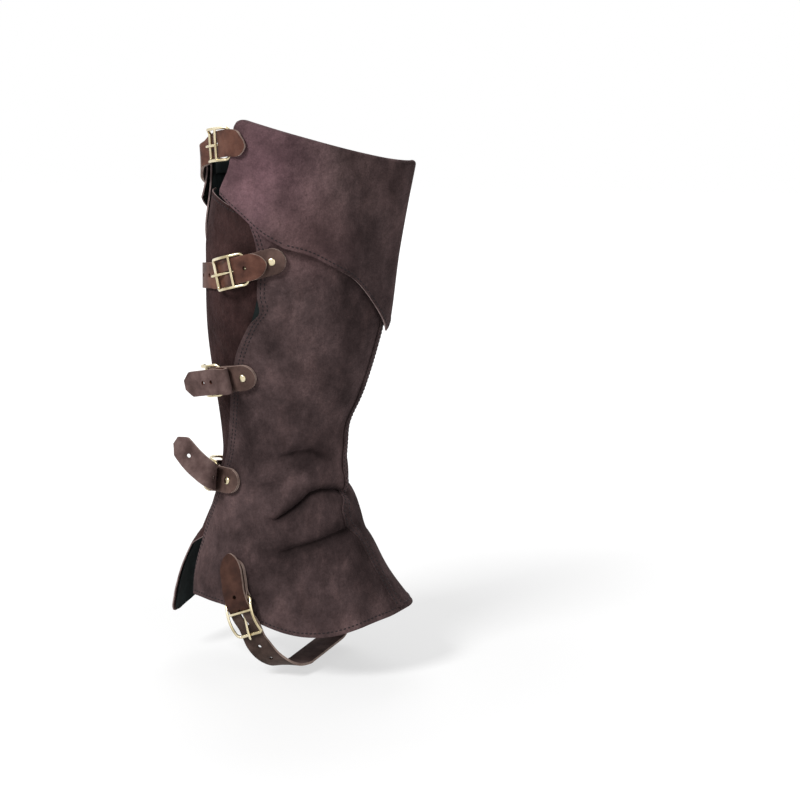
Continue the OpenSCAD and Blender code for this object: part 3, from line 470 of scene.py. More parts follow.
# %% Smooth leathers and cloth
def smooth_leather(name, dark, mid, light, rough, relief=0.2):
    f = Finish(name, rough=rough, specular=0.14)
    tone = f.ramp(f.noise(60, 5, 0.6), (0.34, dark), (0.5, mid), (0.68, light))
    tone = f.darker(tone, f.noise(1100, 3, 0.6), (0.35, 0.78), (0.65, 1), 0.5)
    f.set({"Base Color": tone, "Normal": f.bump(f.noise(1300, 3, 0.6), relief, 0.0003)})
    return f.material


grain = smooth_leather("strap_grain", "3c241d", "55362c", "69473b", 0.5)
deep_grain = smooth_leather("strap_deep_grain", "2a1812", "3d251d", "4f342a", 0.5)
dull_grain = smooth_leather("strap_dull_grain", "332722", "463731", "594842", 0.6)
worn_grain = smooth_leather("strap_worn_grain", "3f2f2a", "54413b", "6a534c", 0.62)
flesh = smooth_leather("strap_flesh", "463633", "5d4a47", "735f5b", 0.9, 0.45)
edge_pale = smooth_leather("cut_edge_pale", "877068", "a58f85", "bda99e", 0.8)
edge_dark = smooth_leather("cut_edge_dark", "665555", "8f7b79", "aa9692", 0.9)
lining_black = smooth_leather("lining_black", "0c1111", "161d1d", "232b2b", 0.85, 0.4)

# %% [markdown]
# The buckles are pale brass, a little tarnished: a full metal, whose colour drifts slowly. The
# zip is black metal on woven tape, and the thread is nearly black.

# %% Metal, zip, tape and thread
def two_tones(f, source, low, high):
    f.set({"Base Color": f.ramp(source, (0.3, low), (0.7, high))})


thread = Finish("thread", rough=0.7)
two_tones(thread, thread.noise(900, 2), "0f0a0b", "20161a")
brass = Finish("pale_brass", rough=0.26, metal=1.0)
tarnish = brass.ramp(brass.noise(70, 3, 0.5), (0.34, "b3a482"), (0.52, "d3c6a4"), (0.72, "eee4ca"))
brass.set({"Base Color": tarnish, "Normal": brass.bump(brass.noise(300, 2), 0.05, 0.0002)})
zip_metal = Finish("zip_black", rough=0.35, specular=0.5)
two_tones(zip_metal, zip_metal.noise(300, 2), "141517", "222428")
tape_cloth = Finish("zip_tape", rough=0.9)
weave = tape_cloth.noise(1600, 2, 0.5, tape_cloth.moved(scale=(1, 1, 0.35)))
two_tones(tape_cloth, weave, "0f1011", "1d1e20")
tape_cloth.set({"Normal": tape_cloth.bump(weave, 0.4, 0.0003)})
print("materials:", len(bpy.data.materials))

# %% [markdown]
# ## Laying a sheet of leather
# A sheet starts as a flat grid primitive. Each corner of the grid is moved to its place on the
# leg, then Solidify gives it the leather's thickness and Bevel breaks the cut edges. The size
# that the sheet had to be cut to is measured on the grid, before it gets its thickness.

# %% Making one piece
SMOOTH_ANGLE, METAL_ANGLE = 38, 50


def none_selected():
    """Every operator acts on all that is selected, so each piece starts with nothing selected."""
    bpy.ops.object.select_all(action="DESELECT")


def only(obj):
    none_selected()
    obj.select_set(True)
    bpy.context.view_layer.objects.active = obj


def named(name):
    """The primitive that was just added, under a name of its own."""
    obj = bpy.context.object
    obj.name = obj.data.name = name
    return obj


def apply_all(obj):
    only(obj)
    for m in list(obj.modifiers):
        bpy.ops.object.modifier_apply(modifier=m.name)


def round_edges(obj, width, angle=50):
    if width:
        b = obj.modifiers.new("edge", "BEVEL")
        b.width = width * MM
        b.segments = 2
        b.limit_method = "ANGLE"
        b.angle_limit = radians(angle)
    apply_all(obj)
    only(obj)
    bpy.ops.object.shade_smooth_by_angle(angle=radians(SMOOTH_ANGLE))

# %% One sheet
def grid(name, nu, nv, place, materials, paint=None):
    """A grid of nu by nv squares with its corners moved to place(u, v), in millimetres."""
    none_selected()
    bpy.ops.mesh.primitive_grid_add(x_subdivisions=nu, y_subdivisions=nv, size=1)
    obj = named(name)
    for m in materials:
        obj.data.materials.append(m)
    if paint:
        for face in obj.data.polygons:
            face.material_index = paint(face.center.y + 0.5)
    for v in obj.data.vertices:
        v.co = place(v.co.x + 0.5, v.co.y + 0.5) * MM
    return obj


def thicken(obj, thickness):
    """Solidify inwards: the second material goes inside and the third on the cut edge."""
    others = len(obj.data.materials) - 1
    s = obj.modifiers.new("thick", "SOLIDIFY")
    s.thickness = thickness * MM
    s.offset = -1
    s.use_even_offset = False
    s.material_offset = min(1, others)
    s.material_offset_rim = min(2, others)


def cut_size(obj, nu, nv):
    """Widest row, longest column and area of a grid, in metres."""
    co = [v.co.copy() for v in obj.data.vertices]

    def run(first, step, count):
        return sum((co[first + (k + 1) * step] - co[first + k * step]).length for k in range(count))

    wide = max(run(j * (nu + 1), 1, nu) for j in range(nv + 1))
    long = max(run(i, nu + 1, nv) for i in range(nu + 1))
    return wide, long, sum(f.area for f in obj.data.polygons)


def lay(name, nu, nv, place, thickness, materials, bevel=0.35, paint=None, sheet_on=None):
    """A sheet laid by its outer face; sheet_on names the node that it lies on."""
    obj = grid(name, nu, nv, place, materials, paint)
    wide, long, area = cut_size(obj, nu, nv)
    thicken(obj, thickness)
    round_edges(obj, bevel)
    if sheet_on:
        print(f"{name}: cut {wide * 1000:.0f} by {long * 1000:.0f} mm, {area * 1e4:.0f} cm2")
    return obj

# %% [markdown]
# Three nubuck panels and their linings go round the leg. Each could be cut flat and draped in a
# simulation, but the folds would then fall by chance. Here both edges are read from the outlines,
# and the sheet is stretched between them, so the folds lie where the real ones do.

# %% Panels and linings
def plate(a, b, lo, hi, off, stand=None):
    def place(u, v):
        zn = mix(60, 470, v)
        th = mix(a(zn), b(zn), u)
        z = mix(lo(th), hi(th), v)
        return leg(th, z, off + (stand(th, z) if stand else 0))

    return place


def panel_top(th):
    return rim(th) - UNDER_FOLD


def hem_up(th):
    return hem(th) + 2


def beside_zip(side, s):
    return lambda z: shift(ZIP_TURN, z, side * s)


def beside_seam(s):
    return lambda z: shift(seam(z), z, s)


PANELS = {
    # one edge, the other edge, how it stands off, squares across, the node that it lies on
    "lateral_front": (lateral_cut, beside_seam(-0.25), lip, 120, "lateral_lining"),
    "medial_front": (beside_seam(0.25), beside_zip(-1, ZIP_GAP / 2), None, 70, "medial_front_lining"),
    "medial_rear": (beside_zip(1, ZIP_GAP / 2), medial_edge, None, 60, "medial_rear_lining"),
}
LININGS = {
    "lateral": (lambda z: lateral_edge(z) + 0.4, beside_seam(-0.25), "calf_panel"),
    "medial_front": (beside_seam(0.25), beside_zip(-1, TAPE_W + 0.8), "zip_tape_front"),
    "medial_rear": (beside_zip(1, TAPE_W + 0.8), lambda z: medial_edge(z) - 1.5, "calf_panel"),
}


def crease_at(co):
    """How much painted shade darkens the leather at a point in metres: 1 in the deepest fold's valley, with
    a weaker tail below it where the overhang's shadow falls.
    """
    z = co.z / MM
    cx, a, b = ring_at(z)
    th = degrees(atan2(co.y / MM / b, (co.x / MM - cx) / a))
    dark = 0.0
    for fade, depth, over, k in near_folds(th, z):
        dark += fade * depth / DEEPEST * (bell((k + 0.3) / 0.75) + 0.5 * bell((k + 1.5) / 1.3))
    return min(dark, 1.0)


# Each vertex keeps its painted fold shade as an attribute, which the nubuck finish reads.
def paint_fold_shade(obj):
    marks = obj.data.attributes.new("crease", "FLOAT", "POINT")
    marks.data.foreach_set("value", [crease_at(v.co) for v in obj.data.vertices])


def settle(obj, body, slot, *nodes):
    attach(obj, body)
    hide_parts(*nodes)


for name, (a, b, stand, wide, under) in PANELS.items():
    p = lay(name + "_leather", wide, 250, plate(a, b, hem, panel_top, PAN_OUT, stand), PANEL_T,
            [nubuck, flesh, edge_dark], sheet_on=under)
    # The panel gets its painted fold shade.
    paint_fold_shade(p)
    settle(p, "gaiter", "nubuck", name + "_panel")
for name, (a, b, under) in LININGS.items():
    p = lay(name + "_lining_cloth", 60, 160, plate(a, b, hem_up, panel_top, LIN_OUT), LINING_T,
            [lining_black], bevel=0, sheet_on=under)
    settle(p, "gaiter", "lining", name + "_lining")

# %% [markdown]
# The calf panel is a darker piece that goes round the back under the others. Its tail hangs down
# over the heel and stands away from it, so it has a flare of its own, and a rounded end.

# %% The calf panel
CALF_FOOT, CALF_HEAD = 42, 424
CALF_CORNER = 7


def round_corner(left, corner):
    """How far an edge is cut back, from 1 to 0, where left millimetres remain to the corner."""
    s = clamp(1 - left / corner)
    return 1 - sqrt(1 - s * s)


def tail_bottom(th, left):
    """The tail hangs a little lower than the rest, and its rear corner is cut round."""
    return calf_bottom(th) - 5 * smooth((th - 140) / 34) + CALF_CORNER * round_corner(left, CALF_CORNER)


def calf_place(off, m, share=1.0):
    def place(u, v):
        zn = mix(CALF_FOOT, CALF_HEAD, v)
        th = mix(max(medial_edge(zn) - 10, 98) + m, calf_outer(zn) - m, u)
        z = mix(tail_bottom(th, calf_outer(CALF_FOOT) - th) + m, calf_top(th) - m, v)
        under = (1 - share) * 8 * smooth((152 - z) / 20)
        return leg(th, z, off + flare(th, z) * share - under + calf_lip(th, z))

    return place


calf = lay("calf_leather", 90, 180, calf_place(CALF_OUT, 0), CALF_T, [calf_nubuck, flesh, edge_dark],
           sheet_on="calf_lining")
settle(calf, "gaiter", "calf_leather", "calf_panel")
calf_in = lay("calf_lining_cloth", 50, 100, calf_place(LINING_T, 1.2, 0.96), LINING_T, [lining_black],
              bevel=0, sheet_on="calf_panel")
settle(calf_in, "gaiter", "lining", "calf_lining")
print("panels laid")

# %% [markdown]
# ## The cuff
# The cuff is one more sheet, turned over the top edge like a coat's collar: down the outside,
# round the fold and a little way down the inside. On the outer side it swells over the tab of
# the top buckle. Its rear corner is cut round.

# %% The cuff
OUTER, FOLD = 0.72, 0.22
CORNER = 7


def bulge(th):
    return 3.5 * smooth((-74 - th) / 18) - 0.4 * smooth((-104 - th) / 10)


def cuff_off(th, t):
    """How far the middle of the cuff's leather stands off, t from its lower edge to the fold."""
    spread = 3 * mix(1, 0.1, smooth((-86 - th) / 26))
    return FOLD_OUT + spread * (1 - t) ** 1.5 + bulge(th) * smooth(t / 0.2 + 0.3)


def cuff_place(a, b):
    """u runs round the leg, v from the lower edge over the fold to the inner edge."""

    def place(u, v):
        zn = mix(424, 480, clamp(v / OUTER))
        th = mix(a(zn), b(zn), u)
        zr, zl = panel_top(th), cuff_low(th)
        if a is cuff_rear:
            zr -= CORNER * 0.7 * round_corner((th - a(zn)) * 1.15, CORNER)
        h = PANEL_T / 2
        if v <= OUTER:
            t = v / OUTER
            return leg(th, mix(zl, zr, t), cuff_off(th, t) + h)
        if v <= OUTER + FOLD:
            k = pi * (v - OUTER) / FOLD
            r = FOLD_R + h
            return leg(th, zr + r * sin(k), PAN_MID + r * cos(k) + bulge(th) * (1 + cos(k)) / 2)
        t = (v - OUTER - FOLD) / (1 - OUTER - FOLD)
        return leg(th, zr - 9 * t, PAN_MID - FOLD_R - h)

    return place


def cuff_inside(v):
    """The turned-in part of the rear length is black, like the lining that it meets."""
    return 3 if v > OUTER + FOLD * 0.62 else 0


SIDE = ZIP_GAP / 2 + 0.4
CUFFS = {
    "lateral": (cuff_rear, lambda z: shift(-2, z, -0.2), 120, None, "lateral_front_panel"),
    "medial_front": (lambda z: shift(-2, z, 0.2), beside_zip(-1, SIDE), 70, None, "medial_front_panel"),
    "medial_rear": (beside_zip(1, SIDE), lambda z: 189, 90, cuff_inside, "medial_rear_panel"),
}
for name, (a, b, wide, paint, under) in CUFFS.items():
    skin = [nubuck, lining_black if paint else nubuck, edge_dark, lining_black]
    p = lay(name + "_cuff_leather", wide, 120, cuff_place(a, b), PANEL_T, skin, paint=paint, sheet_on=under)
    settle(p, "gaiter", "nubuck", name + "_cuff")

# %% [markdown]
# A narrow strip of nubuck covers the seam down the front, with a row of stitches on each side.

# %% The strip over the front seam
SEAM_STRIP_T = 1.2
SEAM_STRIP_OUT = PAN_OUT + 0.55 + SEAM_STRIP_T


def seam_strip_place(u, v):
    z = mix(62, 330, v)
    return leg(shift(seam(z), z, mix(-4, 4, u)), z, SEAM_STRIP_OUT)


strip = lay("front_seam_leather", 8, 220, seam_strip_place, SEAM_STRIP_T, [nubuck, flesh, nubuck],
            bevel=0.3)
settle(strip, "gaiter", "nubuck", "front_seam_strip")
print("cuff and seam strip laid")

# %% [markdown]
# ## Stitches
# One stitch is a UV sphere pulled long and flattened, with forty faces. A row of sewing copies
# it along a line of points, each with the direction that the leather faces there.

# %% One stitch and a row of them
def place_matrix(point, x, z):
    y = z.cross(x).normalized()
    x = y.cross(z).normalized()
    m = Matrix((x, y, z)).transposed().to_4x4()
    m.translation = point * MM
    return m


def stamp(pieces, pattern, matrix):
    """Adds one copy of a small pattern to the pieces."""
    mesh = pattern.data.copy()
    mesh.transform(matrix)
    pieces.from_mesh(mesh)
    bpy.data.meshes.remove(mesh)


none_selected()
bpy.ops.mesh.primitive_uv_sphere_add(segments=8, ring_count=5, radius=1)
one_stitch = named("one_stitch")
for v in one_stitch.data.vertices:
    long = copysign(abs(v.co.x) ** 0.6, v.co.x)
    v.co = Vector((long * 1.25, v.co.y * 0.55, v.co.z * 0.46)) * MM
STITCH_PITCH, STITCH_LIFT = 3.7, 0.06
thread_pieces = bmesh.new()
stitch_count = 0


def sew(rows):
    """rows: (point, outward direction) along a seam, in millimetres."""
    global stitch_count
    run, d = [], 0.0
    for i, (p, n) in enumerate(rows):
        if i:
            d += (p - rows[i - 1][0]).length
        run.append(d)
    count = max(int(d / STITCH_PITCH), 1)
    i = 0
    for k in range(count):
        where = d * (k + 0.5) / count
        while run[i + 1] < where:
            i += 1
        (a, m), (b, n) = rows[i], rows[i + 1]
        t = (where - run[i]) / max(run[i + 1] - run[i], 1e-6)
        face = m.lerp(n, t).normalized()
        stamp(thread_pieces, one_stitch,
              place_matrix(a.lerp(b, t) + face * STITCH_LIFT, (b - a).normalized(), face))
    stitch_count += count


def steps(a, b, step=2.0):
    n = max(int(abs(b - a) / step), 2)
    return [mix(a, b, i / n) for i in range(n + 1)]


def up_the_leg(edge, side, lo, hi, off, stand=None):
    """A row beside an edge given as angle for height, side millimetres further round."""
    rows = []
    for z in steps(lo, hi):
        th = shift(edge(z), z, side)
        rows.append((leg(th, z, off + (stand(th, z) if stand else 0)), outward(th, z, 1.0)))
    return rows


def round_the_leg(edge, up, a, b, off):
    """A row beside an edge given as height for angle; off may depend on the angle."""
    rows = []
    for th in steps(a, b):
        z = edge(th) + up
        rows.append((leg(th, z, off(th) if callable(off) else off), outward(th, z, 1.0)))
    return rows

# %% [markdown]
# Now the seams themselves: along the cuff's lower edge and the calf panel's top, twice beside the
# side panel's edge, along the hem, on both sides of the front strip and of the zip, and down the
# inner edge.

# %% The seams
CUFF_SEW, ZIP_SEW = 3.2, ZIP_GAP / 2 + 3


def cuff_face(th):
    return cuff_off(th, CUFF_SEW / (panel_top(th) - cuff_low(th))) + PANEL_T / 2


for a, b in ((-126, -85), (-83, -3), (-1, 69), (81, 186)):
    sew(round_the_leg(cuff_low, CUFF_SEW, a, b, cuff_face))
sew(round_the_leg(calf_top, -3.2, 200, 262, CALF_OUT))
for side in (3.0, 6.4):
    sew(up_the_leg(lateral_cut, side, 66, 400, PAN_OUT, lip))
for a, b in ((-163, -16), (-9, 68), (81, 106)):
    sew(round_the_leg(hem, 3.5, a, b, PAN_OUT))
for side in (-2.6, 2.6):
    sew(up_the_leg(seam, side, 64, 328, SEAM_STRIP_OUT))
for side, top in ((-ZIP_SEW, 350), (ZIP_SEW, 352)):
    sew(up_the_leg(lambda z: ZIP_TURN, side, 62, top, PAN_OUT))
sew(up_the_leg(medial_edge, -3.2, 64, 380, PAN_OUT))
print("stitches:", stitch_count)

# %% [markdown]
# ## Straps
# A strap's line runs round the leg. At each step it has a place, a direction outwards and a
# direction across, and the strap's middle is given as distance along, height off the leg and
# half its width. The same numbers as in the CAD lift it over the bars of its buckle.

# %% Strap heights
HEEL_U, KEEPER_U, REST_U, SPLIT_U, SPLIT_GAP = 24, 35, 56, 17, 0.7
MIDDLE_U = (HEEL_U + REST_U) / 2
BAR_R, RAIL_R, PRONG_R, PLAY = 1.5, 1.25, 1.15, 0.08
HALF_W = 11
RAIL_W = HALF_W + 0.8 + RAIL_R
LEG_IN = PAN_OUT + GAP
LEG_OUT = LEG_IN + TAB_T
LEG2_IN = LEG_OUT + GAP
LEG2_OUT = LEG2_IN + TAB_T
HEEL_H = (LEG_OUT + LEG2_IN) / 2
STRAP_GAP = GAP + 0.2
LOW = CALF_OUT + STRAP_GAP + STRAP_T / 2
HIGH = PAN_OUT + STRAP_GAP + STRAP_T / 2
REST_H = LOW + STRAP_T / 2 + GAP + BAR_R
PASS_H = HEEL_H + BAR_R + PLAY + TAB_T + GAP + STRAP_T / 2
KEEPER_STRAP_H = PASS_H - 2.2
KEEPER_H = KEEPER_STRAP_H + STRAP_T / 2 + GAP + RAIL_R
TIP_H = REST_H + BAR_R + 0.05 + PRONG_R
TOP_HIGH = FOLD_OUT + PANEL_T / 2 + 1.4 + STRAP_GAP + STRAP_T / 2

# %% Strap lines
def square(v, t):
    """The direction nearest to v that is square to t."""
    return (v - t * v.dot(t)).normalized()


class Line:
    """Samples along a strap: distance, place, outward and across directions."""

    def __init__(self, samples, zero):
        self.rows = []
        d = 0.0
        for i, (p, n, t) in enumerate(samples):
            if i:
                d += (p - samples[i - 1][0]).length
            n = square(n, t)
            self.rows.append([d, p, n, n.cross(t)])
        k = int(zero)
        base = mix(self.rows[k][0], self.rows[min(k + 1, len(self.rows) - 1)][0], zero - k)
        for r in self.rows:
            r[0] -= base
        heel, rest = self.plain(HEEL_U), self.plain(REST_U)
        self.bar = heel[0] + heel[1] * HEEL_H
        along = rest[0] + rest[1] * REST_H - self.bar
        self.length = along.length
        self.along = along.normalized()
        self.across = square(self.plain(MIDDLE_U)[2], self.along)
        self.out = self.along.cross(self.across)

    def plain(self, d):
        rows = self.rows
        d = min(max(d, rows[0][0]), rows[-1][0])
        k = min(bisect_right(rows, d, key=lambda r: r[0]), len(rows) - 1)
        a, b = rows[k - 1], rows[k]
        t = (d - a[0]) / (b[0] - a[0])
        return a[1].lerp(b[1], t), a[2].lerp(b[2], t).normalized(), a[3].lerp(b[3], t).normalized()

    def spot(self, d):
        """Near its buckle the strap lies square to the bars and midway between the rails."""
        p, n, w = self.plain(d)
        g = smooth((abs(d - MIDDLE_U) - 18) / 12)
        w = self.across.lerp(w, g).normalized()
        p = p - self.across * ((p - self.bar).dot(self.across) * (1 - g))
        return p, square(n, w), w

    def at(self, d, h=0.0, s=0.0):
        p, n, w = self.spot(d)
        return p + n * h + w * s


LINES, STARTS = {}, {}


def on_leg(th, z, off=0.0):
    return leg(th, z, off, 0), outward(th, z)


def leg_line(name, first, start, last, off, zs):
    """A line from angle first back to angle last, with its rivet at angle start."""
    samples = []
    for th in range(first, last - 1, -1):
        a, b = (leg(t, look(zs, t), 0, 0) for t in (th + 1, th - 1))
        samples.append((*on_leg(th, look(zs, th), off), (b - a).normalized()))
    LINES[name] = Line(samples, first - start)
    STARTS[name] = first


leg_line("top", -86, -104, -272, 0.4, [(-280, 419), (-262, 421), (-220, 427), (-190, 435),
         (-172, 443), (-155, 454), (-140, 462), (-128, 465), (-104, 462), (-80, 452)])
leg_line("upper", -71, -91, -275, 0.2, [(-280, 334), (-262, 335), (-180, 347), (-148, 351),
         (-130, 353), (-108, 361), (-91, 368), (-65, 374)])
leg_line("mid", -89, -109, -275, 0.2, [(-280, 246), (-262, 247), (-180, 256), (-157, 259),
         (-118, 266), (-109, 268), (-80, 273)])
leg_line("lower", -106, -126, -283, 0.5, [(-290, 156), (-267, 156), (-254, 160), (-180, 168),
         (-126, 172), (-100, 173)])


def dist_of(name, th):
    return LINES[name].rows[STARTS[name] - th][0]

# %% [markdown]
# The strap under the foot leaves the leg below the hem, so its line is a curve through chosen
# points: down the outer side, flat under the sole and up inside the inner side.

# %% The line under the foot
FLAT_Z = 10 + LOW - STRAP_T / 2
FLAT_HALF = 30
INNER_OFF = -GAP - 0.2 - STRAP_T / 2 - LOW
STAND_OFF = 1.7
KNOT_STEPS = 6


def flat_at(s):
    return Vector((24.5 + s * 0.15, s, FLAT_Z)), Vector((0, 0, -1))


def free_at(x, y, z, *outwards):
    return Vector((x, y, z)), Vector(outwards)


CONTROLS = [
    on_leg(-119, 132), on_leg(-116.5, 114), on_leg(-114, 95),
    on_leg(-112.5, 72, STAND_OFF), on_leg(-112, 52, STAND_OFF),
    free_at(-11, -57.5 - STAND_OFF, 38, -0.1, -1, 0), free_at(-3, -56.5, 26, 0, -0.93, -0.37),
    free_at(7, -51, FLAT_Z + 5, 0, -0.7, -0.7), free_at(14.5, -42, FLAT_Z + 1, 0, -0.3, -0.95),
    flat_at(-FLAT_HALF), flat_at(8 - FLAT_HALF), flat_at(FLAT_HALF - 8), flat_at(FLAT_HALF),
    free_at(31, 42, FLAT_Z + 1, 0, 0.3, -0.95), free_at(32.5, 50, FLAT_Z + 5.5, 0, 0.72, -0.7),
    free_at(32.5, 53.5, 27, 0, 0.97, -0.2), free_at(31.5, 54.5, 38, 0.05, 1, 0),
    on_leg(84.5, 50, INNER_OFF), on_leg(87, 64, INNER_OFF),
    on_leg(90, 80, INNER_OFF), on_leg(93, 98, INNER_OFF),
]


def curve_at(i, t):
    last = len(CONTROLS) - 1
    a, b, e, f = (CONTROLS[min(max(k, 0), last)][0] for k in (i - 1, i, i + 1, i + 2))
    g, h, r = (e - a) / 2, (f - b) / 2, 1 - t
    return b * ((1 + 2 * t) * r * r) + g * (t * r * r) + e * (t * t * (3 - 2 * t)) - h * (t * t * r)


samples = []
for j in range((len(CONTROLS) - 1) * KNOT_STEPS + 1):
    i = min(j // KNOT_STEPS, len(CONTROLS) - 2)
    t = j / KNOT_STEPS - i
    e = (curve_at(i, t + 0.02) - curve_at(i, t - 0.02)).normalized()
    samples.append((curve_at(i, t), CONTROLS[i][1].lerp(CONTROLS[i + 1][1], t), e))
LINES["stirrup"] = Line(samples, 2 * KNOT_STEPS)
KNOTS = [LINES["stirrup"].rows[i * KNOT_STEPS][0] for i in range(len(CONTROLS))]
STIRRUP_END = KNOTS[19]
ENDS = {}
for name, tip, edge, high in (("top", -262, -166, TOP_HIGH), ("upper", -265, -201, HIGH),
                              ("mid", -263, -237, HIGH), ("lower", -268, -254, HIGH)):
    ENDS[name] = (dist_of(name, tip) + HALF_W, dist_of(name, edge), high)
print("strap lengths:", {k: round(v[0]) for k, v in ENDS.items()}, round(STIRRUP_END))

# %% [markdown]
# A strap could follow a curve with a bevel profile, but a curve twists as it likes. A grid laid
# along the line stays square to the leg, takes the strap's thickness from Solidify, and can be
# punched with a cylinder and the Boolean modifier, as a hole is punched in leather.

# %% Bands of leather along a line
TIP_HALF, PUNCH_LONG = 1.6, 10


def through(rows, step=1.5):
    """Points every step millimetres through rows of (distance, height, half width, aside).
    They are smooth in place and straight in width; a short row has the strap's own width."""
    rows = [tuple(e) + (HALF_W, 0.0)[len(e) - 2 :] for e in rows]
    run = [0.0]
    for a, b in zip(rows, rows[1:]):
        run.append(run[-1] + hypot(b[0] - a[0], b[1] - a[1], b[3] - a[3]))
    places = [(r, e[0], e[1], e[3]) for r, e in zip(run, rows)]
    widths = [(r, e[2]) for r, e in zip(run, rows)]
    n = int(run[-1] / step)
    out = []
    for r in (run[-1] * i / n for i in range(n + 1)):
        d, h, s = hermite(places, r)
        out.append((d, h, look(widths, r), s))
    return out


def stations(line, rows):
    return [(line.at(d, h, s), line.spot(d)[2], half) for d, h, half, s in rows]


def heading(rows, i):
    """The direction along rows of (point, ...) at row i."""
    return (rows[min(i + 1, len(rows) - 1)][0] - rows[max(i - 1, 0)][0]).normalized()


def band(name, q, thickness, side, materials, holes=()):
    """A strap through stations (point, across, half width). side 1 puts the grain on the
    face that along x across points to, side -1 on the other."""
    last = len(q) - 1
    frames = []
    for i, (p, w, half) in enumerate(q):
        e = heading(q, i)
        m = e.cross(w).normalized()
        frames.append((p, m.cross(e).normalized(), m, half))

    def place(u, v):
        p, w, m, half = frames[min(round(u * last), last)]
        return p + w * ((v * 2 - 1) * half * side) + m * (side * thickness / 2)

    obj = grid(name, last, 10, place, materials)
    thicken(obj, thickness)
    apply_all(obj)
    for hole in holes:
        punch(obj, *hole)
    round_edges(obj, 0.3)
    return obj


def punch(obj, centre, x, z, radius, stretch=0.0):
    """Cuts a round hole, or a slot when stretch is given, along the direction z."""
    none_selected()
    bpy.ops.mesh.primitive_cylinder_add(vertices=32, radius=radius * MM, depth=PUNCH_LONG * MM)
    cutter = named("cutter")
    for v in cutter.data.vertices:
        v.co.x += copysign(stretch / 2 * MM, v.co.x)
    cutter.data.transform(place_matrix(centre, x, z))
    m = obj.modifiers.new("hole", "BOOLEAN")
    m.operation = "DIFFERENCE"
    m.object = cutter
    m.solver = "EXACT"
    apply_all(obj)
    bpy.data.objects.remove(cutter)


def hole_at(line, d, h, radius=1.8, stretch=0.0):
    p, n, w = line.spot(d)
    return line.at(d, h), w.cross(n), n, radius, stretch

# %% [markdown]
# Each strap is two pieces in the model. The long one is held in its buckle. The free end can be
# lifted by a finger.

# %% Straps round the leg
STRAP_SKIN, WORN_SKIN, DULL_SKIN, DEEP_SKIN = (
    [top, flesh, edge_pale] for top in (grain, worn_grain, dull_grain, deep_grain))
BUCKLE_END = 62
BUCKLE_RUN = [(KEEPER_U, KEEPER_STRAP_H), (38, KEEPER_STRAP_H - 0.4), (42, KEEPER_STRAP_H - 1.5),
              (46, LOW + 2.2), (50, LOW + 0.7), (53, LOW + 0.2), (REST_U, LOW), (BUCKLE_END, LOW)]
SPARE = {"top": [], "upper": [70, 84], "mid": [70], "lower": [], "stirrup": [REST_U + 12, REST_U + 26]}


def round_end(end, h, angles):
    """The round end of a strap, from its full width to its tip."""
    turns = [polar(a) for a in angles]
    return [(end - HALF_W + HALF_W * s, h, HALF_W * c) for c, s in turns] + [(end - 0.1, h, TIP_HALF)]


def far_run(end, edge, high, pull=0.0):
    """From the buckle to the far rivet; pull draws the strap straight over the open back."""
    n = ceil((end - 12 - BUCKLE_END) / 6)
    st = (end - 12 - BUCKLE_END) / n
    out = []
    for i in range(1, n + 1):
        d = BUCKLE_END + st * i
        taut = pull * sin(pi * clamp((d - 60) / (edge - 75)))
        out.append((d, mix(LOW, high, smooth((d - edge + 22) / 11)) - taut))
    return out + round_end(end, high, range(15, 90, 15))


def prong_slot(line):
    """The long hole that the prong passes through, and turns in."""
    return hole_at(line, REST_U - 15.8, 7.0, radius=1.6, stretch=12.7)


def strap(name, run, skin):
    line = LINES[name]
    holes = [prong_slot(line)] + [hole_at(line, d, LOW) for d in SPARE[name]]
    p = band(name + "_strap_leather", stations(line, through(BUCKLE_RUN + run)), STRAP_T, 1, skin, holes)
    settle(p, "gaiter", "strap_leather", name + "_strap")


for name, (end, edge, high) in ENDS.items():
    strap(name, far_run(end, edge, high, 4.0 if name == "top" else 0.0), STRAP_SKIN)

run = []
for i in range(5, 10):
    run += [((KNOTS[i] + KNOTS[i + 1]) / 2 + 4, LOW), (KNOTS[i + 1] + 2, LOW)]
run += [(KNOTS[11] - 2, LOW), (KNOTS[12], LOW)]
for i in range(12, 18):
    run += [((KNOTS[i] + KNOTS[i + 1]) / 2, LOW), (KNOTS[i + 1], LOW)]
strap("stirrup", run + round_end(STIRRUP_END, LOW, (30, 50, 70)), DULL_SKIN)

# %% [markdown]
# No two free ends lie alike. The top and upper ones lie flat with a pointed tip, the middle one
# turns back in a loop and stands off, the lower one rises like a flap, and the one under the
# foot lies close. Each is a list of places for its middle, in the plane of its strap.

# %% Free ends
BULLET = [(0, 1), (1.6, 0.985), (5, 0.9), (8, 0.76), (10.5, 0.58), (12.4, 0.37), (13.4, 0.2), (13.8, 0.1)]
ANGULAR = [(0, 1), (7, 1), (8.2, 0.93), (13.8, 0.36)]
OVER = [(KEEPER_U, KEEPER_STRAP_H), (31.5, PASS_H - 1.1), (28, PASS_H - 0.3), (24.5, PASS_H)]
FLAT_OVER = OVER + [(21, PASS_H)]
SPLIT_END = SPLIT_U - SPLIT_GAP
MID_R, MID_MIDDLE, MID_OUT = 3.4, 13, 62
LOWER_R, LOWER_MIDDLE, LOWER_TURN, LOWER_RISE = 8.5, 15, 126, radians(36)


def tapered(shape, place):
    """A cut tip: the place for each row of (distance, share of the width) of its shape."""
    return [(*place(e)[:2], HALF_W * w, *place(e)[3:]) for e, w in shape]


def away(s):
    """The mid strap's end leaves the leg in a straight line."""
    h = PASS_H + 2 * MID_R
    return SPLIT_U + SPLIT_GAP + MID_OUT * atan2(s, MID_OUT + h), hypot(MID_OUT + h, s) - MID_OUT, HALF_W


def climb(t):
    return -tan(LOWER_RISE) * LOWER_R * LOWER_TURN * pi / 360 * t * t


def loop_at(a, r, middle, rises=False):
    """A turn of leather round (middle, PASS_H + r); a in degrees, 270 at its root."""
    c, s = polar(a)
    return (middle + r * c, PASS_H + r + r * s, HALF_W, climb((270 - a) / LOWER_TURN) if rises else 0.0)


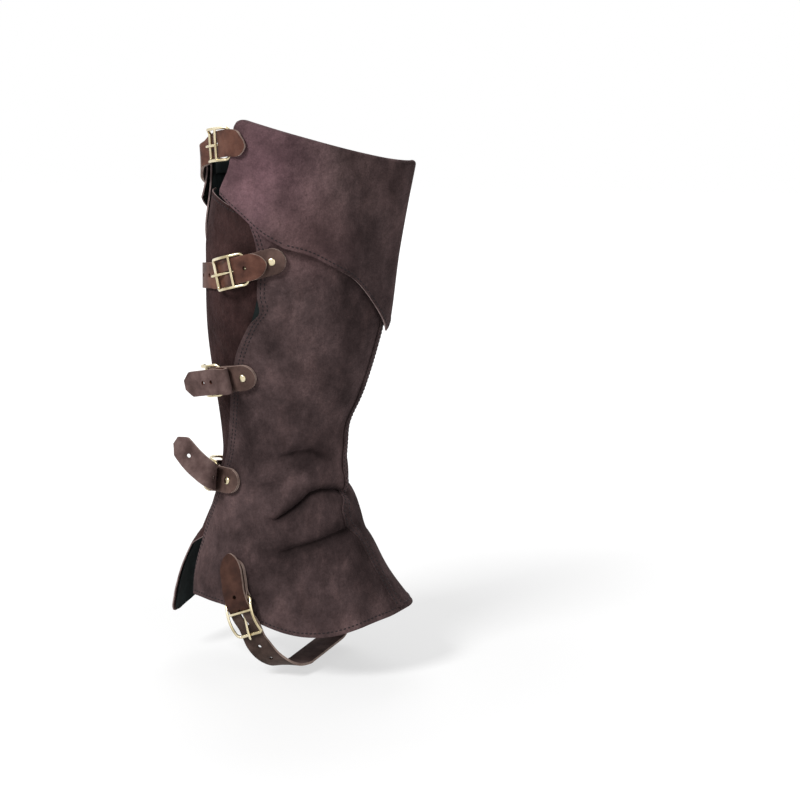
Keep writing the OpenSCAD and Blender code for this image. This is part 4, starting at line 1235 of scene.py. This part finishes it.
def lower_away(e):
    c, s = polar(270 - LOWER_TURN)
    k = e * cos(LOWER_RISE)
    return (LOWER_MIDDLE + LOWER_R * c + k * s, PASS_H + LOWER_R + LOWER_R * s - k * c, HALF_W,
            climb(1) - e * sin(LOWER_RISE))


FREE = {
    "top": OVER + [(21, PASS_H + 0.66), (18, PASS_H + 1.14)]
    + tapered(BULLET, lambda e: (SPLIT_END - e * 0.8, PASS_H + 1.35 + smooth(e / 10) * 1.6)),
    "upper": FLAT_OVER + tapered(BULLET, lambda e: (SPLIT_END - e * 0.9, PASS_H - 0.9 * smooth(e / 13))),
    "stirrup": FLAT_OVER + [(SPLIT_U, PASS_H + 0.15), (12, PASS_H + 0.2), (6, PASS_H + 0.2)]
    + tapered(BULLET, lambda e: (-e * 1.15, PASS_H + 0.2 - 1.2 * smooth(e / 13))),
    "mid": FLAT_OVER + [loop_at(270 - 22.5 * i, MID_R, MID_MIDDLE) for i in range(9)]
    + [away(s) for s in (2, 8, 16)] + tapered(ANGULAR, lambda e: away(24 + e * 1.3)),
    "lower": FLAT_OVER + [(18, PASS_H)]
    + [loop_at(270 - LOWER_TURN * i / 10, LOWER_R, LOWER_MIDDLE, True) for i in range(11)]
    + [lower_away(e) for e in (2, 8, 14)] + tapered(ANGULAR, lambda e: lower_away(20 + e)),
}
lower, mid, stirrup = LINES["lower"], LINES["mid"], LINES["stirrup"]


def radial_hole(a, place):
    """A hole in the lower strap's end at a place, along the direction from the place a."""
    d, h, half, s = place
    p, q = lower.at(*a, s), lower.at(d, h, s)
    return q, lower.spot(d)[2], (q - p).normalized(), 1.8


def flap_hole(e):
    d, h = lower_away(e)[:2]
    c, s = polar(270 - LOWER_TURN)
    return radial_hole((d - c, h - s), lower_away(e))


LOOP_HOLE = radial_hole((LOWER_MIDDLE, PASS_H + LOWER_R), loop_at(198, LOWER_R, LOWER_MIDDLE, True))
FREE_HOLES = {
    "top": [],
    "upper": [hole_at(LINES["upper"], 22, PASS_H)],
    "stirrup": [hole_at(stirrup, 22, PASS_H)],
    "mid": [hole_at(mid, 23, PASS_H + 7.2), hole_at(mid, 31, PASS_H + 8)],
    "lower": [LOOP_HOLE, flap_hole(18)],
}
BENDS = {
    "mid": ((15, PASS_H + 3.4), (15, PASS_H + 6.2)),
    "lower": ((8, PASS_H + 11.5), (8, PASS_H + 15)),
}
for name, rows in FREE.items():
    line = LINES[name]
    p = band(name + "_free_leather", stations(line, through(rows, 1.2)), STRAP_T, -1,
             DEEP_SKIN if name == "stirrup" else STRAP_SKIN, FREE_HOLES[name] + [prong_slot(line)])
    a, b = BENDS.get(name, ((20, PASS_H), (14, PASS_H)))
    tuple(line.at(*a) * MM)
    tuple(line.at(*b) * MM)
    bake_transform(p)
    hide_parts(name + "_strap_end")
print("straps and free ends made")

# %% [markdown]
# ## Tabs and metal
# A tab is a short strap folded round the heel bar of its buckle and riveted to the panel. The
# fold has a slot so that the prong can turn on the bar.

# %% Tabs
def tab_stations(line):
    a, b = (LEG_IN + LEG_OUT) / 2, (LEG2_IN + LEG2_OUT) / 2
    cap = [(-HALF_W * c, max(HALF_W * s, TIP_HALF)) for c, s in map(polar, range(0, 90, 15))]
    near, bend = HEEL_U - 5, HEEL_U - 2.8
    leg_1 = [(d, a, w) for d, w in cap] + [(0, a), (10, a), (near, a), (bend, a - 0.4)]
    leg_2 = [(bend, b + 0.4), (near, b), (10, b), (0, b)] + [(d, b, w) for d, w in reversed(cap)]
    y = square(line.spot(HEEL_U)[1], line.across)
    x = line.across.cross(y)
    r = BAR_R + PLAY + TAB_T / 2
    turn = [(line.bar + (x * c + y * s) * r, line.across, HALF_W)
            for c, s in map(polar, range(250, 471, 10))]
    return stations(line, through(leg_1)) + turn + stations(line, through(leg_2))


for name, line in LINES.items():
    slot = hole_at(line, HEEL_U, 6.8, radius=1.8, stretch=5.4)
    p = band(name + "_tab_leather", tab_stations(line), TAB_T, -1, WORN_SKIN, [slot])
    settle(p, "gaiter", "strap_leather", name + "_tab")

# %% [markdown]
# A buckle is bent from round wire: a frame with two long rails, a bar across it that keeps the
# strap's end down, and a prong curled round the heel bar. A closed wire starts as a torus and a
# bar as a sphere, which has closed ends, and each ring of corners is moved to its place.

# %% Shapes in metal
def ring(name, path, radius):
    """A torus primitive moved onto a closed path of (point, up) with its own radius."""
    n = len(path)
    none_selected()
    bpy.ops.mesh.primitive_torus_add(major_segments=n, minor_segments=12, major_radius=1, minor_radius=0.25)
    obj = named(name)
    for v in obj.data.vertices:
        i = round(atan2(v.co.y, v.co.x) / tau * n) % n
        q = atan2(v.co.z, hypot(v.co.x, v.co.y) - 1)
        p, up = path[i]
        t = (path[(i + 1) % n][0] - path[i - 1][0]).normalized()
        up = square(up, t)
        r_side, r_up = radius(i)
        v.co = (p + t.cross(up) * (cos(q) * r_side) + up * (sin(q) * r_up)) * MM
    return obj


def spun(name, n, segments, place):
    """A UV sphere with its corners moved to place(ring, angle), in millimetres."""
    none_selected()
    bpy.ops.mesh.primitive_uv_sphere_add(segments=segments, ring_count=n, radius=1)
    obj = named(name)
    for v in obj.data.vertices:
        i = round(acos(max(-1, min(1, v.co.z))) / pi * n)
        v.co = place(i, atan2(v.co.y, v.co.x)) * MM
    return obj


def rod(name, rows):
    """A round bar along rows of (point, across, radius); both ends are closed."""
    n = len(rows) - 1

    def place(i, q):
        p, w, r = rows[i]
        t = heading(rows, i)
        w = square(w, t)
        return p + (w * cos(q) + t.cross(w) * sin(q)) * (0 if i in (0, n) else r)

    return spun(name, n, 12, place)


def turned(name, line, d, profile):
    """A shape turned on a lathe: profile of (radius, height) from its foot to its top."""
    p, out, w = line.spot(d)
    x = w.cross(out)

    def place(i, q):
        r, h = profile[-1 - i]
        return p + (x * cos(q) + w * sin(q)) * r + out * h

    return spun(name, len(profile) - 1, 24, place)


def finish_metal(obj, *others):
    only(obj)
    for o in others:
        o.select_set(True)
    if others:
        bpy.ops.object.join()
    obj.data.materials.clear()
    obj.data.materials.append(brass.material)
    bpy.ops.object.mode_set(mode="EDIT")
    bpy.ops.mesh.select_all(action="SELECT")
    bpy.ops.mesh.normals_make_consistent(inside=False)
    bpy.ops.object.mode_set(mode="OBJECT")
    bpy.ops.object.shade_smooth_by_angle(angle=radians(METAL_ANGLE))
    return obj

# %% Buckle frames and prongs
CORNER_R = 3.4
CORNER_STEPS, SIDE_STEPS = 10, 14
CURL_SIDE, CURL_UP, CURL_POINTS = 0.55, 1.3, 24
PRONG_ROWS = [
    (HEEL_U + BAR_R + 0.4, HEEL_H, PRONG_R), (30, HEEL_H - 0.15, PRONG_R),
    (KEEPER_U + 1, HEEL_H - 0.4, PRONG_R), (41, HEEL_H - 0.05, PRONG_R), (46, HEEL_H + 0.75, PRONG_R),
    (51, mix(HEEL_H, TIP_H, 0.7), PRONG_R), (REST_U, TIP_H, PRONG_R),
    (REST_U + 2.4, TIP_H + 0.05, PRONG_R * 0.95), (REST_U + 3.4, TIP_H, PRONG_R * 0.7),
    (REST_U + 3.8, TIP_H - 0.05, PRONG_R * 0.3),
]


def rectangle(long, wide):
    """Points round a rectangle with round corners, from (0, -wide) on."""
    x, s = long - CORNER_R, wide - CORNER_R
    arcs = []
    for cx, cs, first in ((x, -s, -90), (x, s, 0), (CORNER_R, s, 90), (CORNER_R, -s, 180)):
        turns = [polar(first + 90 // CORNER_STEPS * k) for k in range(CORNER_STEPS + 1)]
        arcs.append([(cx + CORNER_R * c, cs + CORNER_R * sn) for c, sn in turns])
    out = []
    for arc, following in zip(arcs, arcs[1:] + arcs[:1]):
        a, b = arc[-1], following[0]
        out += arc + [(mix(a[0], b[0], k / SIDE_STEPS), mix(a[1], b[1], k / SIDE_STEPS))
                      for k in range(1, SIDE_STEPS)]
    return out


for name, line in LINES.items():
    # The rails are bent to a circle through the heel bar, the keeper bar and the rest bar.
    keeper = line.at(KEEPER_U, KEEPER_H) - line.bar
    kx, kz, long = keeper.dot(line.along), keeper.dot(line.out), line.length
    c = (kx * kx + kz * kz - long * kx) / (2 * kz)
    arc_r = hypot(long / 2, c)
    flat = rectangle(long, RAIL_W)

    def lifted(x, s):
        y = c + sqrt(max(arc_r ** 2 - (x - long / 2) ** 2, 0))
        return line.bar + line.along * x + line.out * y + line.across * s

    def wire_radius(i):
        x = flat[i][0]
        r = mix(BAR_R, RAIL_R, smooth(min(x, long - x) / 5))
        return r, r

    frame_ring = ring(name + "_frame_wire", [(lifted(x, s), line.out) for x, s in flat], wire_radius)
    middle = line.bar + line.along * kx + line.out * kz
    bar_rows = [(middle + line.across * (RAIL_W * s), line.along, RAIL_R - 0.1)
                for s in (-1, -0.99, -0.6, -0.2, 0.2, 0.6, 0.99, 1)]
    finish_metal(frame_ring, rod("keeper_bar", bar_rows))
    settle(frame_ring, "gaiter", "brass", name + "_frame")

    tongue = rod(name + "_prong_wire", stations(line, through(PRONG_ROWS, 1.0)))
    curl = []
    for k in range(CURL_POINTS):
        q = tau * k / CURL_POINTS
        p = line.bar + (line.along * cos(q) + line.out * sin(q)) * (BAR_R + PLAY + CURL_SIDE)
        curl.append((p, line.across))
    finish_metal(tongue, ring("prong_curl", curl, lambda i: (CURL_SIDE, CURL_UP)))
    settle(tongue, name + "_prong", "brass", name + "_prong")
print("buckles made")

# %% [markdown]
# A rivet is turned on a lathe, and so is its shape here: rings of a sphere moved to a profile.
# One holds each tab and one the far end of each strap, but the strap under the foot is sewn.

# %% Rivets
SHANK_R = 1.5
HEAD = [(SHANK_R, 0.2), (3.2, 0.2), (3.3, 0.35), (3.3, 0.55)]
DOME = [(3.1, 0.8), (2.6, 1.15), (1.9, 1.42), (1.1, 1.58), (0, 1.65)]
FLAT_HEAD = [(3.1, 0.72), (2.6, 0.8), (0, 0.8)]


def rivets(name, places):
    made = []
    for k, d, lo, hi in places:
        # The rivet under the cuff is flat, the others are domed.
        head = HEAD + (FLAT_HEAD if k == "top" and d <= 0 else DOME)
        profile = [(0, lo), (SHANK_R, lo)] + [(r, hi + h) for r, h in head]
        made.append(turned(name + "_" + k, LINES[k], d, profile))
    obj = finish_metal(*made)
    obj.name = obj.data.name = name + "_metal"
    settle(obj, "gaiter", "brass", name)
    print(name + ":", len(places))


RIVET_FOOT = LIN_OUT + GAP + 0.1
rivets("tab_rivets", [(k, 0, RIVET_FOOT, LEG2_OUT) for k in LINES])
far = [(k, ENDS[k][0] - HALF_W, RIVET_FOOT, HIGH + STRAP_T / 2) for k in ("upper", "mid", "lower")]
rivets("strap_rivets", [("top", ENDS["top"][0] - HALF_W, FOLD_OUT - 1, TOP_HIGH + STRAP_T / 2)] + far)

# %% [markdown]
# ## The zip
# Each tooth is a small box with broken edges, copied up its tape. The slider, its pull and the
# two stops are copies of the solids with their edges eased.

# %% Teeth
TOOTH_W, TOOTH_D, TOOTH_H, TOOTH_STEP, TOOTH_AT = 3.7, 1.05, 1.5, 1.7, 1.45
TOOTH_SLIM = 0.8
ZIP_FOOT, FOOT_ROOM, HEAD_ROOM = 47, 9, 6
ZIP_HEAD = rim(75) - UNDER_FOLD - 2
def shown(name, mesh, material):
    """An object of one material for a mesh that isn't a primitive of its own."""
    obj = bpy.data.objects.new(name, mesh)
    bpy.context.collection.objects.link(obj)
    mesh.materials.clear()
    mesh.materials.append(material)
    return obj


def filled(name, pieces, material):
    """An object made of many stamped pieces."""
    mesh = bpy.data.meshes.new(name)
    pieces.to_mesh(mesh)
    pieces.free()
    return shown(name, mesh, material)


none_selected()
bpy.ops.mesh.primitive_cube_add(size=1)
tooth = named("tooth")
tooth.data.transform(Matrix.Diagonal((TOOTH_W * MM, TOOTH_D * MM, TOOTH_H * MM, 1)))
for v in tooth.data.vertices:
    v.co.y *= TOOTH_SLIM
for side, name in ((-1, "front"), (1, "rear")):
    teeth = bmesh.new()
    for i in range(int((ZIP_HEAD - HEAD_ROOM - ZIP_FOOT - FOOT_ROOM) / TOOTH_STEP)):
        z = ZIP_FOOT + FOOT_ROOM + (i + (0.5 if side > 0 else 0)) * TOOTH_STEP
        p = leg(shift(ZIP_TURN, z, side * TOOTH_AT), z, LIN_OUT + 0.2 + TOOTH_H / 2)
        x = (leg(ZIP_TURN + 1, z, 0) - leg(ZIP_TURN, z, 0)).normalized() * side
        stamp(teeth, tooth, place_matrix(p, x, outward(ZIP_TURN, z)))
    obj = filled("zip_row_" + name, teeth, zip_metal.material)
    round_edges(obj, 0.15, 30)
    settle(obj, "gaiter", "zip_metal", "zip_teeth_" + name)
bpy.data.objects.remove(tooth)
print("zip from", ZIP_FOOT, "to", round(ZIP_HEAD), "mm")

# %% Slider, pull, stops and tapes
def eased(node, body, width):
    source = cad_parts[node]
    obj = shown(node + "_eased", source.data.copy(), zip_metal.material)
    obj.matrix_world = source.matrix_world
    only(obj)
    bpy.ops.object.transform_apply(location=True, rotation=True, scale=True)
    w = obj.modifiers.new("weld", "WELD")
    w.merge_threshold = 0.00001
    round_edges(obj, width, 30)
    settle(obj, body, "zip_metal", node)


eased("zip_slider", "slider", 0.35)
eased("zip_pull", "pull", 0.3)
eased("zip_top_stop", "gaiter", 0.4)
eased("zip_bottom_stop", "gaiter", 0.4)
for name in ("zip_tape_front", "zip_tape_rear"):
    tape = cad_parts[name]
    tape.data.materials.clear()
    tape.data.materials.append(tape_cloth.material)

# %% The thread, and the last stitches
for d in (STIRRUP_END - 4, STIRRUP_END - 17):
    n = stirrup.spot(d)[1]
    sew([(stirrup.at(d, LOW - STRAP_T / 2, s), -n) for s in (-8, -4, 0, 4, 8)])
stitches = filled("stitches", thread_pieces, thread.material)
bpy.data.objects.remove(one_stitch)
only(stitches)
bpy.ops.object.shade_smooth()
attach(stitches, "gaiter")
print("stitches in all:", stitch_count)

# %% [markdown]
# ## Floor and light
# The picture is lit softly from the left, on a white ground. The white is in the floor's and
# the world's own colour for the camera, so the lamps can stay at a plain level.

# %% What a ray sees
def seen_directly(tree):
    """1 for camera, mirror and glass rays, 0 for the rays that carry light."""
    path = add(tree, "LightPath", {})
    result = path.outputs["Is Camera Ray"]
    for other in ("Is Glossy Ray", "Is Transmission Ray"):
        pick = add(tree, "Math", {0: result, 1: path.outputs[other]})
        pick.operation = "MAXIMUM"
        result = pick.outputs[0]
    return result


def choose(tree, factor, first, second):
    return add(tree, "MixShader", {"Fac": factor, 1: first, 2: second}).outputs[0]

# %% Floor
none_selected()
bpy.ops.mesh.primitive_plane_add(size=14, location=(0, 0, 0))
floor = bpy.context.object
floor.name = "floor"
paper = Finish("paper_white", rough=1.0, specular=0.0)
paper.set({"Base Color": shade(0.8)})
tree = paper.tree
white = paper.shader.outputs[0]
glow = add(tree, "Emission", {"Strength": 1.22}).outputs[0]
share = paper.ramp(paper.ball(paper.moved(scale=(0.7, 0.7, 0.7))), (0.4, 0), (0.85, 0.5))
surface = choose(tree, seen_directly(tree), white, choose(tree, share, glow, white))
fill(tree, tree.nodes["Material Output"], {"Surface": surface})
floor.data.materials.append(paper.material)

# %% [markdown]
# The world gives an even light from all round, weak for the object and white for the camera.
# Three lamps add the direction: the key from the left, a weak fill, and one from behind that
# draws the rim and the straps' edges.

# %% World
world = bpy.data.worlds.new("studio")
bpy.context.scene.world = world
world.use_nodes = True
tree = world.node_tree
tree.nodes.clear()
shades = [add(tree, "Background", {"Color": shade(1), "Strength": s}).outputs[0] for s in (0.25, 1.0)]
add(tree, "OutputWorld", {"Surface": choose(tree, seen_directly(tree), *shades)})

# %% Lamps
LIT_POINT = Vector((0, 0, 0.25))
for name, place, size, power in (
    ("key", (-0.9, -1.45, 1.7), 0.7, 44),
    ("fill", (1.5, -1.2, 0.9), 1.3, 6),
    ("back", (-0.4, 1.5, 1.4), 1.2, 14),
):
    bpy.ops.object.light_add(type="AREA", location=place)
    lamp = bpy.context.object
    lamp.name = name
    lamp.data.size = size
    lamp.data.energy = power
    lamp.rotation_euler = (LIT_POINT - Vector(place)).to_track_quat("-Z", "Y").to_euler()
bpy.context.scene.view_settings.view_transform = "Standard"
